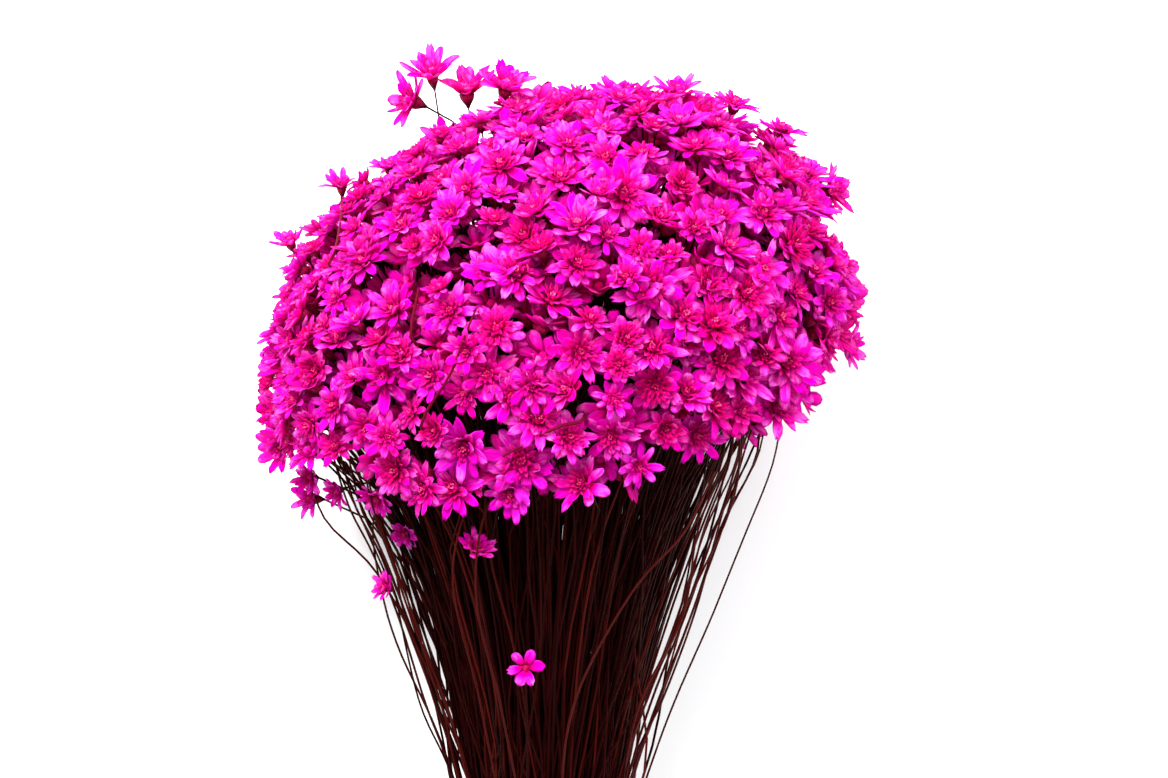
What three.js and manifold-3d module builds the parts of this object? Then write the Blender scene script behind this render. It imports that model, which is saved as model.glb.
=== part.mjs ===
// Dried glixia: a tied bunch of small star-shaped dried flowers on thin dark stems, lying on its side.
// Units are millimetres. The bunch is laid out along +Y, from its cut ends at y = 0 to its crown, with
// the side that shows uppermost towards +Z. The whole bunch is then tilted until it rests on the floor
// at its cut ends and at the underside of its crown.

import * as THREE from 'three';
import { mergeVertices } from 'three/addons/utils/BufferGeometryUtils.js';
import Module from 'manifold-3d';

const wasm = await Module();
wasm.setup();

// Driving dimensions of the crown, a leaning ellipsoid of flower heads, open underneath
const CROWN_MIDDLE = new THREE.Vector3(2.5, 225, 0);
const CROWN_HALF_LONG = 61;
const CROWN_HALF_SHORT = 49;
const CROWN_HALF_DEEP = 50;
const CROWN_LEAN = THREE.MathUtils.degToRad(25);
const RIM_HEIGHT = 200.5;
const RIM_SLOPE = 0.19;
const RIM_CURVE = 0.03;
const RIM_CURVES_FROM = 38;
const RIM_STEP = 15;
const RIM_STEP_STARTS = -24;
const RIM_STEP_ENDS = -38;
const CROWN_HEADS = 450;
const CLUSTERS = 25;

// Driving dimensions of one head, from its calyx to the plane of its open petals
const HEAD_DEPTH = 5;
const HEAD_RADIUS_LEAST = 5.2;
const HEAD_RADIUS_MOST = 7.4;
const HEAD_SIDES = 5;
const HEAD_TUFT = 1.4;
const SOLID_SHARE = 0.86;
const HEAD_DEPTH_SPREAD = 2.6;
const HEAD_UPWARD_LEAN = 0.5;
const HEAD_TILT_SPREAD = 0.35;
const PRESSED_TURN = 2;
const PULL_STEP = 0.6;
const PULL_STEPS = 9;
const LEAST_OVERLAP = 1.5;

// Driving dimensions of the stems and their tie
const TIE_HEIGHT = 105;
const TIE_LENGTH = 9;
const TIE_BELOW_WAIST = 4.5;
const TIE_THICKNESS = 2;
const TIE_INNER_RADIUS = 10.3;
const TIE_SIDES = 20;
const STEMS_RADIUS_AT_TIE = 7.8;
const STEMS_RADIUS_AT_ENDS = 14;
const BUNDLE_RADIUS = 1.05;
const BUNDLE_SIDES = 4;
const BUNDLE_STEPS = 6;
const BRANCH_RADIUS = 0.8;
const BRANCH_SIDES = 3;
const BRANCH_STEPS = 4;
const BRANCHES = 3;
const BRANCH_ROOT = 1.5;
const BRANCH_NECK = 3;
const PARTING_HEIGHT_SHARE = 0.8;
const PARTING_NEARNESS_AT_TOP = 0.82;
const PARTING_NEARNESS_AT_RIM = 0.72;
const FLARE = 0.84;
const CUT_SPREAD = 9;

// How far the crown's underside lies below its own axis, the x and y of the bunch's frame over which
// the lying bunch is centred, and the gap that touching pieces keep
const CROWN_REST = 45;
const LYING_MIDDLE = new THREE.Vector2(2.9, 139);
const GAP = 0.3;

const PETAL_COLOUR = 0xe0179f;
const STEM_COLOUR = 0x351512;
const TIE_COLOUR = 0xb59a6a;

const GOLDEN_ANGLE = Math.PI * (3 - Math.sqrt(5));
const LYING_TILT = Math.atan((CROWN_REST - STEMS_RADIUS_AT_ENDS) / CROWN_MIDDLE.y);

// The point straight above the lying bunch from which it is seen: how far off, over what x and y
const VIEW_DISTANCE = 1000;
const VIEW_MIDDLE = new THREE.Vector2(7.8, 213.2);
const SEEN_ROUNDS = 12;

// Heads that stand out in the crown's upper side: the x and y at which each is seen from above, and
// its width
const FEATURED_HEADS = [
  [16, 253.5, 15.5], [21, 234, 15], [34, 227, 14.5], [7.5, 220.5, 12.5], [28, 255.5, 9.5],
  [36, 249.5, 10.5], [45, 249.5, 11], [44.5, 237.5, 11.5], [17, 223.5, 9.5], [29, 212.5, 12],
  [48, 210, 11], [40, 208.5, 9], [32, 202.5, 11], [13.5, 202.5, 10], [19, 197.5, 8],
  [-5, 197.5, 14.5], [-19, 193, 12], [-17, 200.5, 12.5], [-34, 215.5, 13], [-12, 216, 12],
  [-7, 211.5, 10.5], [-10, 225.5, 11.5], [-32, 230, 11.5], [-20, 229.5, 10.5], [-6, 237.5, 13],
  [-22, 243, 10.5], [-37, 239.5, 10.5], [-9, 258.5, 12.5], [12, 260.5, 11], [-43, 210, 10.5],
  [-37.5, 204.5, 10.5], [-32, 203.5, 9], [-47, 217, 9.5], [58, 230.5, 10.5], [53, 219.5, 9],
  [-16, 253.5, 10.5], [-19, 248.5, 10], [-2.5, 213.5, 10.5], [14, 211, 7.5], [-23, 204.5, 8.5],
];
const FEATURED_SPACING = 5.6;

// Heads that stand clear of the crown: the x and y at which each is seen from above, its width and the
// way it faces
const CLEAR_HEADS = [
  { seen: [-22.5, 277], width: 10, facing: [-0.2, 1, 0.45] },
  { seen: [-27.5, 271.5], width: 9.5, facing: [-0.8, 0.6, 0.45] },
  { seen: [-16, 273.5], width: 9.5, facing: [-0.1, 1, 0.35] },
  { seen: [-40.5, 254.5], width: 7.5, facing: [-0.3, 1, 0.2] },
  { seen: [-51, 243], width: 8, facing: [-0.4, 1, 0.2] },
  { seen: [-50.5, 237.5], width: 6.5, facing: [-0.6, 0.8, 0.1] },
  { seen: [-8, 274.5], width: 10.5, facing: [0.35, 1, 0.35] },
  { seen: [26.5, 273], width: 10, facing: [0.1, 1, 0.2] },
  { seen: [38, 270.5], width: 10, facing: [0.3, 1, 0.2] },
  { seen: [47, 264.5], width: 9, facing: [0.3, 1, 0.1] },
  { seen: [59, 253.5], width: 9, facing: [1, 0.5, 0.1] },
  { seen: [61.5, 222], width: 7.5, facing: [1, -0.2, 0.3] },
  { seen: [-47.5, 191], width: 9, facing: [-0.9, 0.15, 0.4] },
];

// Flowers below the rim, each on a stem of its own that runs outside the cone of the other stems: the
// x and y at which the head is seen from above, its height over the axis, its width and the way it
// faces, its stem's turn round the tie and the points it passes
const LOW_FLOWERS = [
  {
    seen: [-32.5, 173.5], height: 18, width: 7, facing: [-0.75, 0.35, 0.45], tieTurn: 156,
    passing: [[-18.5, 138, 9], [-25, 154, 12]],
  },
  {
    seen: [-4, 157], height: 31, width: 8, facing: [0, 0.1, 1], tieTurn: 97,
    passing: [[-3, 127, 16], [-3.4, 145, 22.5]],
  },
  {
    seen: [-13.5, 181.5], height: 33, width: 8.5, facing: [0.25, 0.7, 0.5], tieTurn: 118,
    passing: [[-6.5, 130, 14.5], [-11, 160, 24.5]],
  },
];
const LOW_STEM_RADIUS = 0.5;
const LOW_STEM_STEPS = 8;
const LOW_STEM_TIE_RADIUS = 8.7;

// A repeatable number from 0 to 1 for one thing and one use
function noise(thing, use) {
  const wave = Math.sin(thing * 127.1 + use * 311.7) * 43758.5453;
  return wave - Math.floor(wave);
}

// The same, from -1 to 1
function spread(thing, use) {
  return 2 * noise(thing, use) - 1;
}

const longAxis = new THREE.Vector3(Math.cos(CROWN_LEAN), Math.sin(CROWN_LEAN), 0);
const shortAxis = new THREE.Vector3(-Math.sin(CROWN_LEAN), Math.cos(CROWN_LEAN), 0);

// Crown coordinates: a direction from the crown's middle, scaled so that its surface is a unit sphere
function toCrown(offset) {
  return new THREE.Vector3(
    offset.dot(longAxis) / CROWN_HALF_LONG,
    offset.dot(shortAxis) / CROWN_HALF_SHORT,
    offset.z / CROWN_HALF_DEEP,
  );
}

function crownDirection(point) {
  return toCrown(point.clone().sub(CROWN_MIDDLE)).normalize();
}

function crownNormal(point) {
  const scaled = toCrown(point.clone().sub(CROWN_MIDDLE));
  return new THREE.Vector3()
    .addScaledVector(longAxis, scaled.x / CROWN_HALF_LONG)
    .addScaledVector(shortAxis, scaled.y / CROWN_HALF_SHORT)
    .add(new THREE.Vector3(0, 0, scaled.z / CROWN_HALF_DEEP))
    .normalize();
}

// A point of the crown's surface, by its angle down from the crown's leaning top and its turn round it
function onCrown(fall, turn) {
  return CROWN_MIDDLE.clone()
    .addScaledVector(longAxis, CROWN_HALF_LONG * Math.sin(fall) * Math.cos(turn))
    .addScaledVector(shortAxis, CROWN_HALF_SHORT * Math.cos(fall))
    .add(new THREE.Vector3(0, 0, CROWN_HALF_DEEP * Math.sin(fall) * Math.sin(turn)));
}

// The rim slopes across the crown, turns up towards its one side and steps up towards the other
function aboveRim(point) {
  const beyond = Math.max(0, point.x - RIM_CURVES_FROM);
  const step = RIM_STEP * THREE.MathUtils.smoothstep(-point.x, -RIM_STEP_STARTS, -RIM_STEP_ENDS);
  return point.y > RIM_HEIGHT + RIM_SLOPE * point.x + RIM_CURVE * beyond * beyond + step;
}

// The angle down from the crown's top at which its surface meets the rim, found by halving
function rimFall(turn) {
  let above = Math.PI / 3;
  let below = Math.PI;
  for (let round = 0; round < 24; round += 1) {
    const middle = (above + below) / 2;
    if (aboveRim(onCrown(middle, turn))) above = middle;
    else below = middle;
  }
  return above;
}

// The floor's height below the bunch's axis, in the bunch's own frame
function floorBelow(y) {
  return -(STEMS_RADIUS_AT_ENDS + y * Math.tan(LYING_TILT));
}

const floorNormal = new THREE.Vector3(0, Math.sin(LYING_TILT), Math.cos(LYING_TILT));
const floorOffset = -STEMS_RADIUS_AT_ENDS * Math.cos(LYING_TILT);

// The point of the crown's upper side, or at a given height over the axis, that is seen at an x and y
function seenAt([x, y], height) {
  const point = new THREE.Vector3(0, 0, height ?? CROWN_HALF_DEEP / 2);
  for (let round = 0; round < SEEN_ROUNDS; round += 1) {
    const nearer = 1 - point.z / VIEW_DISTANCE;
    const along = VIEW_MIDDLE.y + (y - VIEW_MIDDLE.y) * nearer;
    point.x = VIEW_MIDDLE.x + (x - VIEW_MIDDLE.x) * nearer;
    point.y = (along + point.z * Math.sin(LYING_TILT)) / Math.cos(LYING_TILT);
    const inPlane = toCrown(point.clone().sub(CROWN_MIDDLE).setZ(0)).lengthSq();
    if (height === undefined) point.z = CROWN_HALF_DEEP * Math.sqrt(Math.max(0, 1 - inPlane));
  }
  return point;
}

// A head of the crown's surface: its petals' middle, the way it faces, its radius and its calyx's foot
function crownHead(point, radius, thing) {
  const outward = crownNormal(point);
  const axis = outward.clone().add(new THREE.Vector3(
    HEAD_TILT_SPREAD * spread(thing, 1),
    HEAD_UPWARD_LEAN + HEAD_TILT_SPREAD * spread(thing, 2),
    HEAD_TILT_SPREAD * spread(thing, 3),
  )).normalize();
  point.addScaledVector(outward, HEAD_DEPTH_SPREAD * (noise(thing, 4) - 1));
  if (point.z < floorBelow(point.y)) {
    point.z = floorBelow(point.y);
    axis.addScaledVector(floorNormal, -PRESSED_TURN).normalize();
  }
  return head(point, axis, radius, noise(thing, 7));
}

function head(point, axis, radius, luck) {
  return { point, axis, radius, luck, foot: point.clone().addScaledVector(axis, -HEAD_DEPTH) };
}

// Heads in an even spiral over the crown, with the featured ones in front in place of those near them
function crownHeads() {
  const heads = FEATURED_HEADS.map(([x, y, width], index) => {
    return crownHead(seenAt([x, y]), width / 2, CROWN_HEADS + index);
  });
  const featured = heads.map((each) => each.point.clone());
  for (let index = 0; index < CROWN_HEADS; index += 1) {
    const point = onCrown(Math.acos(1 - (2 * index + 1) / CROWN_HEADS), index * GOLDEN_ANGLE);
    if (!aboveRim(point)) continue;
    const radius = THREE.MathUtils.lerp(HEAD_RADIUS_LEAST, HEAD_RADIUS_MOST, noise(index, 5));
    const crowded = featured.some((each) => each.distanceTo(point) < FEATURED_SPACING);
    if (!crowded) heads.push(crownHead(point, radius, index));
  }
  return heads;
}

// A closed three.js geometry as a solid
function solid(geometry) {
  const bare = geometry.clone();
  bare.deleteAttribute('normal');
  bare.deleteAttribute('uv');
  const merged = mergeVertices(bare, 1e-4);
  return new wasm.Manifold(new wasm.Mesh({
    numProp: 3,
    vertProperties: new Float32Array(merged.attributes.position.array),
    triVerts: new Uint32Array(merged.index.array),
  }));
}

function headSolid({ axis, radius, foot }) {
  const profile = [
    new THREE.Vector2(0, 0),
    new THREE.Vector2(radius * SOLID_SHARE, HEAD_DEPTH),
    new THREE.Vector2(0, HEAD_DEPTH + HEAD_TUFT),
  ];
  const geometry = new THREE.LatheGeometry(profile, HEAD_SIDES);
  const turn = new THREE.Quaternion().setFromUnitVectors(new THREE.Vector3(0, 1, 0), axis);
  geometry.applyQuaternion(turn).translate(foot.x, foot.y, foot.z);
  return solid(geometry);
}

// A plain tube of a few sides along a smooth route
function tubeSolid(points, radius, sides, steps) {
  const corners = Array.from({ length: sides }, (_, side) => {
    const angle = 2 * Math.PI * side / sides;
    return new THREE.Vector2(radius * Math.cos(angle), radius * Math.sin(angle));
  });
  const geometry = new THREE.ExtrudeGeometry(new THREE.Shape(corners), {
    steps,
    extrudePath: new THREE.CatmullRomCurve3(points),
    bevelEnabled: false,
  });
  return solid(geometry);
}

// The disc through which all stems pass at the tie, in shares of its radius
function tiePlace(share, turn) {
  return new THREE.Vector2(Math.cos(turn), Math.sin(turn)).multiplyScalar(Math.sqrt(share));
}

// The radius of all the stems together, from their cut ends to the tie
function stemsRadius(height) {
  return THREE.MathUtils.lerp(STEMS_RADIUS_AT_ENDS, STEMS_RADIUS_AT_TIE, height / TIE_HEIGHT);
}

// Where a bundle's stems part: most of the way to their part of the crown, and nearer to the axis, so
// that stems bound for the crown's sides pass inside the heads of its rim
function partingPoint(target, place, share) {
  const nearness = THREE.MathUtils.lerp(PARTING_NEARNESS_AT_TOP, PARTING_NEARNESS_AT_RIM, share);
  const tied = new THREE.Vector3(place.x * STEMS_RADIUS_AT_TIE, TIE_HEIGHT, place.y * STEMS_RADIUS_AT_TIE);
  const point = tied.lerp(target, PARTING_HEIGHT_SHARE).multiply(new THREE.Vector3(nearness, 1, nearness));
  point.z = Math.max(point.z, floorBelow(point.y) + 2 * BUNDLE_RADIUS);
  return point;
}

// A bundle's stems, drawn together, from their cut ends through the tie to where they part for the heads.
// Above the tie they stay near the axis at first and then flare out.
function bundleRoute(cluster, thing) {
  const route = [CUT_SPREAD * noise(thing, 6), TIE_HEIGHT / 2, TIE_HEIGHT].map((height) => {
    const radius = stemsRadius(height);
    return new THREE.Vector3(cluster.place.x * radius, height, cluster.place.y * radius);
  });
  const flare = route.at(-1).clone().lerp(cluster.parting, 0.5).multiply(new THREE.Vector3(FLARE, 1, FLARE));
  route.push(flare, cluster.parting);
  return route;
}

// One branch, from inside the bundle's end to a head's foot, which it meets along the head's own axis
function branchRoute(each, cluster) {
  const inside = new THREE.Vector3(cluster.place.x, 0, cluster.place.y).multiplyScalar(STEMS_RADIUS_AT_TIE);
  inside.y = TIE_HEIGHT;
  const root = cluster.parting.clone().add(inside.sub(cluster.parting).setLength(BRANCH_ROOT));
  const end = each.foot.clone().addScaledVector(each.axis, -GAP);
  const bend = end.clone().addScaledVector(each.axis, -BRANCH_NECK);
  return [root, bend, end];
}

function petalMaterial() {
  return new THREE.MeshStandardMaterial({ color: PETAL_COLOUR, roughness: 0.6, metalness: 0 });
}

function stemMaterial() {
  return new THREE.MeshStandardMaterial({ color: STEM_COLOUR, roughness: 0.7, metalness: 0 });
}

function named(name, body, material) {
  const { vertProperties, triVerts } = body.getMesh();
  const geometry = new THREE.BufferGeometry();
  geometry.setAttribute('position', new THREE.BufferAttribute(new Float32Array(vertProperties), 3));
  geometry.setIndex(new THREE.BufferAttribute(new Uint32Array(triVerts), 1));
  geometry.computeVertexNormals();
  const mesh = new THREE.Mesh(geometry, material);
  mesh.name = name;
  return mesh;
}

function aboveFloor(body) {
  return body.trimByPlane(floorNormal.toArray(), floorOffset);
}

// The main body alone, without slivers that a cut leaves and without voids shut in between strands
function mainBody(body) {
  return body.decompose().reduce((best, next) => (next.volume() > best.volume() ? next : best));
}

// The clusters share the crown out between them. Each keeps the space nearest to its own middle, as
// seen from the crown's middle, less half a gap along its borders.
const clusters = Array.from({ length: CLUSTERS }, (_, index) => {
  const share = (index + 0.5) / CLUSTERS;
  const turn = index * GOLDEN_ANGLE;
  const fall = Math.acos(1 - share * (1 - Math.cos(rimFall(turn))));
  const middle = onCrown(fall, turn);
  const direction = crownDirection(middle);
  const place = tiePlace(share, turn);
  return { direction, place, parting: partingPoint(middle, place, share), heads: [], clearHeads: [] };
});

// The cluster whose share of the crown a point lies in
function nearestCluster(point) {
  const direction = crownDirection(point);
  let best = clusters[0];
  for (const cluster of clusters) {
    if (cluster.direction.dot(direction) > best.direction.dot(direction)) best = cluster;
  }
  return best;
}

function withinCell(body, cluster) {
  let cut = body;
  for (const other of clusters) {
    if (other === cluster) continue;
    const apart = cluster.direction.clone().sub(other.direction);
    const normal = new THREE.Vector3()
      .addScaledVector(longAxis, apart.x / CROWN_HALF_LONG)
      .addScaledVector(shortAxis, apart.y / CROWN_HALF_SHORT)
      .add(new THREE.Vector3(0, 0, apart.z / CROWN_HALF_DEEP))
      .normalize();
    cut = cut.trimByPlane(normal.toArray(), normal.dot(CROWN_MIDDLE) + GAP / 2);
  }
  return cut;
}

crownHeads().forEach((each) => nearestCluster(each.point).heads.push(each));

CLEAR_HEADS.forEach(({ seen, width, facing }) => {
  const point = seenAt(seen, 0);
  const axis = new THREE.Vector3(...facing).normalize();
  nearestCluster(point).clearHeads.push(head(point, axis, width / 2, 0));
});

function nearestHead(heads, each) {
  const distance = (other) => other.foot.distanceTo(each.foot);
  return heads.reduce((best, next) => (distance(next) < distance(best) ? next : best));
}

// A cluster's heads joined from its middle outwards. A head that would stay apart from the rest is
// drawn in towards the nearest of them.
function clusterSolid(cluster) {
  const nearness = (each) => crownDirection(each.point).dot(cluster.direction);
  const [first, ...rest] = cluster.heads.toSorted((one, other) => nearness(other) - nearness(one));
  const placed = [first];
  let whole = withinCell(headSolid(first), cluster);
  for (const each of rest) {
    let body = withinCell(headSolid(each), cluster);
    const nearest = nearestHead(placed, each);
    for (let step = 0; step < PULL_STEPS && whole.intersect(body).volume() < LEAST_OVERLAP; step += 1) {
      each.foot.add(nearest.foot.clone().sub(each.foot).setLength(PULL_STEP));
      body = withinCell(headSolid(each), cluster);
    }
    placed.push(each);
    whole = whole.add(body);
  }
  for (const each of cluster.clearHeads) {
    const nearest = nearestHead(placed, each);
    const ends = [nearest, each].map(({ foot, axis }) => {
      return foot.clone().addScaledVector(axis, HEAD_DEPTH / 2);
    });
    whole = whole.add(headSolid(each)).add(tubeSolid(ends, LOW_STEM_RADIUS, BUNDLE_SIDES, 1));
  }
  return mainBody(aboveFloor(withinCell(whole, cluster)));
}

function label(number) {
  return String(number).padStart(2, '0');
}

const bunch = new THREE.Group();

const crownSolids = clusters.map(clusterSolid);
const bundleSolids = clusters.map((cluster, index) => {
  return tubeSolid(bundleRoute(cluster, index), BUNDLE_RADIUS, BUNDLE_SIDES, BUNDLE_STEPS);
});

// Branches run to a few of a cluster's heads, and only where they stay clear of all that is there
clusters.forEach((cluster, index) => {
  let added = 0;
  for (const each of cluster.heads.toSorted((one, other) => one.luck - other.luck)) {
    if (added === BRANCHES) break;
    const route = branchRoute(each, cluster);
    const room = tubeSolid(route, BRANCH_RADIUS + GAP, BRANCH_SIDES, BRANCH_STEPS);
    const others = bundleSolids.filter((_, other) => other !== index);
    if ([...crownSolids, ...others].some((body) => body.intersect(room).volume() > 0)) continue;
    const stem = tubeSolid(route, BRANCH_RADIUS, BRANCH_SIDES, BRANCH_STEPS);
    bundleSolids[index] = bundleSolids[index].add(stem);
    added += 1;
  }
});

crownSolids.forEach((body, index) => {
  bunch.add(named(`flower_heads_${label(index + 1)}`, body, petalMaterial()));
});
bundleSolids.forEach((body, index) => {
  bunch.add(named(`stems_${label(index + 1)}`, mainBody(aboveFloor(body)), stemMaterial()));
});

LOW_FLOWERS.forEach(({ seen, height, width, facing, tieTurn, passing }, index) => {
  const axis = new THREE.Vector3(...facing).normalize();
  const each = head(seenAt(seen, height), axis, width / 2, 0);
  const turn = THREE.MathUtils.degToRad(tieTurn);
  const place = tiePlace(1, turn);
  const tieSpread = LOW_STEM_TIE_RADIUS / STEMS_RADIUS_AT_TIE;
  const lower = [CUT_SPREAD * noise(index, 8), TIE_HEIGHT / 2, TIE_HEIGHT].map((y) => {
    const radius = stemsRadius(y) * tieSpread;
    return new THREE.Vector3(place.x * radius, y, place.y * radius);
  });
  const end = each.foot.clone().addScaledVector(axis, -GAP - LOW_STEM_RADIUS);
  const route = [...lower, ...passing.map((point) => new THREE.Vector3(...point)), end];
  const stem = tubeSolid(route, LOW_STEM_RADIUS, BUNDLE_SIDES, LOW_STEM_STEPS);
  bunch.add(named(`low_flower_head_${index + 1}`, headSolid(each), petalMaterial()));
  bunch.add(named(`low_flower_stem_${index + 1}`, stem, stemMaterial()));
});

// The tie is a plain wound band
const tieProfile = [
  new THREE.Vector2(TIE_INNER_RADIUS, -TIE_LENGTH / 2),
  new THREE.Vector2(TIE_INNER_RADIUS + TIE_THICKNESS, -TIE_LENGTH / 2),
  new THREE.Vector2(TIE_INNER_RADIUS + TIE_THICKNESS, TIE_LENGTH / 2),
  new THREE.Vector2(TIE_INNER_RADIUS, TIE_LENGTH / 2),
  new THREE.Vector2(TIE_INNER_RADIUS, -TIE_LENGTH / 2),
];
const tieGeometry = new THREE.LatheGeometry(tieProfile, TIE_SIDES);
tieGeometry.translate(0, TIE_HEIGHT - TIE_BELOW_WAIST, 0);
const tieMaterial = new THREE.MeshStandardMaterial({ color: TIE_COLOUR, roughness: 0.9, metalness: 0 });
bunch.add(named('tie', solid(tieGeometry), tieMaterial));

// The bunch lies on the floor, over the middle of the space that it takes up
bunch.rotation.x = LYING_TILT;
bunch.position.set(-LYING_MIDDLE.x, -LYING_MIDDLE.y, -floorOffset);

const part = new THREE.Group();
part.add(bunch);

export default part;
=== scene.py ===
"""Dried glixia: a tied bunch of small star-shaped magenta flowers on thin dark stems, lying on its side.

The bunch is laid out in millimetres in a frame of its own, along +Y from its cut ends to its crown. It is
then tilted until it rests on the floor, and everything is made in metres where it lies.
"""

import functools
import math
from enum import IntEnum
from typing import NamedTuple

import bpy
from mathutils import Matrix, Vector


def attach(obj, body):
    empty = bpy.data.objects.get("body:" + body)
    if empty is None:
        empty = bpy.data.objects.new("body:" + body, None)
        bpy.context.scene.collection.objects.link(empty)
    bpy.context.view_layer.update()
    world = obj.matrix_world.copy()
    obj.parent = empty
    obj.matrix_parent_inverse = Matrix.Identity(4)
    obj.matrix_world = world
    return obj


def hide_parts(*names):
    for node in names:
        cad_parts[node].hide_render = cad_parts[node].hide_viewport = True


bl_info = {
    "name": "Dried Glixia Bunch",
    "version": (1, 0, 0),
    "blender": (4, 5, 0),
    "location": "View3D > Sidebar > Glixia",
    "description": "Builds a tied bunch of dried glixia: its flower heads, stems, tie and stage",
    "category": "Object",
}

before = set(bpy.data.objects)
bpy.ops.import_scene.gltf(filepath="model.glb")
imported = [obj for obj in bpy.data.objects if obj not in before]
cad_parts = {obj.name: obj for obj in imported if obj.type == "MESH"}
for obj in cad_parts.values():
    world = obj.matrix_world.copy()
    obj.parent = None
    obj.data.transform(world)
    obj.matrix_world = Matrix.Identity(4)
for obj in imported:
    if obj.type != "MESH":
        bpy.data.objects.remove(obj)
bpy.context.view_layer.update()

BODY = "root"
MILLIMETRE = 0.001

# The crown, a leaning ellipsoid of flower heads, open underneath, in millimetres
CROWN_MIDDLE = Vector((2.5, 225, 0))
CROWN_HALF_LONG = 61
CROWN_HALF_SHORT = 49
CROWN_HALF_DEEP = 50
CROWN_LEAN = math.radians(25)
RIM_HEIGHT = 200.5
RIM_SLOPE = 0.19
RIM_CURVE = 0.03
RIM_CURVES_FROM = 38
RIM_STEP = 15
RIM_STEP_STARTS = -24
RIM_STEP_ENDS = -38
CROWN_HEADS = 640
CLUSTERS = 25
HEAD_RADIUS_LEAST = 3.9
HEAD_RADIUS_MOST = 6.6
LARGER_SIDE = Vector((0.8, -0.6, 0))
LARGER_BY = 0.17
HEAD_DEPTH_SPREAD = 2.6
HEAD_UPWARD_LEAN = 0.5
HEAD_TILT_SPREAD = 0.5
HEAD_DRIFT = 1.9
PRESSED_TURN = 2

# Heads at the crown's underside are plainer, and those near the rim stand further apart
PLAINER_BELOW = -36
THIN_BAND = 21
THIN_HALF_WIDTH = 34
THIN_SHARE = 0.16
YOUNG_THIN_SHARE = 0.6

# Younger heads that show dimly in the gaps between the others
YOUNG_HEADS = 760
YOUNG_DEPTH = 5
YOUNG_DEPTH_SPREAD = 4
YOUNG_RADIUS_LEAST = 4.8
YOUNG_RADIUS_MOST = 6.6

# Every head draws by a number of its own: a crown head by its place in the spiral, the featured ones by
# the numbers after those, and each other kind from one of these on
YOUNG_NUMBER = 1000
CLEAR_NUMBER = 2000
LOW_NUMBER = 3000
HANGING_NUMBER = 4000

# The stems and their tie, with heights along the bunch's axis from its cut ends
TIE_HEIGHT = 105
TIE_LENGTH = 9
TIE_BELOW_WAIST = 4.5
TIE_THICKNESS = 2
TIE_INNER_RADIUS = 10.3
STEMS_RADIUS_AT_TIE = 7.8
STEMS_RADIUS_AT_ENDS = 14
TIED_RADIUS = 9.7
PARTING_HEIGHT_SHARE = 0.8
PARTING_NEARNESS_AT_TOP = 0.82
PARTING_NEARNESS_AT_RIM = 0.72
PARTING_SPREAD = 4
FLARE = 0.84
CUT_SPREAD = 9
STEM_NECK = 3.5
STEM_BEND = 6
STEM_CLEARANCE = 1
STEM_WANDER = 2
STRAY_WANDER = 6
STRAY_SHARE = 0.22
BEND_PLACE_SPREAD = 0.1
THICKNESS_SPREAD = 0.12
STEM_WAVER_SCALE = 22.0
STEM_TIP_SHARE = 0.62
BUNCHING = 0.11
BUNCHES = 9
LOW_STEM_TIE_RADIUS = 8.7

# The tie's twine: three strands twisted together, and how far each wavers
STRANDS = 3
STRAND_SPREAD = 0.5
STRAND_SIDES = 6
STRAND_WAVER = 0.12
STRAND_WAVER_SCALE = 160.0
TWINE_TWIST_LENGTH = 6.5
TWINE_DIAMETER = 1.95
POINTS_A_TURN = 90

# How the bunch lies
CROWN_REST = 45
LYING_MIDDLE = Vector((2.9, 139))
LYING_TILT = math.atan((CROWN_REST - STEMS_RADIUS_AT_ENDS) / CROWN_MIDDLE.y)
FLOOR_GAP = 0.1
PRESSED_HEIGHT = 1.2

# The point straight above from which the bunch is seen, over this x and y of its own frame
VIEW_DISTANCE = 1000
VIEW_MIDDLE = Vector((7.8, 213.2))
VIEW_WIDTH = 233.6
SEEN_ROUNDS = 12

# The stage, in metres: how far the floor reaches, what the lights are aimed at, their width and place
FLOOR_REACH = 3
LIGHTS_TARGET = (0, 0.08, 0.05)
MAIN_LIGHT_WIDTH = 0.9
MAIN_LIGHT_PLACE = (-0.4, 0.9, 0.95)
FILL_LIGHT_WIDTH = 1.2
FILL_LIGHT_PLACE = (0.85, 0.65, 0.8)

# How finely points are found by halving, and how far down the crown the search for its rim starts
HALVINGS = 24
RIM_SEARCH_FROM = math.pi / 3

GOLDEN_ANGLE = math.pi * (3 - math.sqrt(5))

# How open a head is, how many petals it has beyond the least, and how far its inner bracts fill it
LOOKS = {
    "open": (0.5, 0.6, 0.15),
    "long": (0.9, 0.3, 0.7),
    "double": (-0.3, 0.9, 1.0),
    "sparse": (0.7, 0.0, 0.0),
    "plain": (0.8, 0.0, 0.0),
    "cup": (-0.8, 0.5, 0.1),
    "goblet": (-1.7, 0.7, 0.1),
}

# A head with no look of its own has a rosette of up to the spread less this, and often none
ROSETTE_SPREAD = 1.6
ROSETTE_LESS = 0.75

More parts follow.
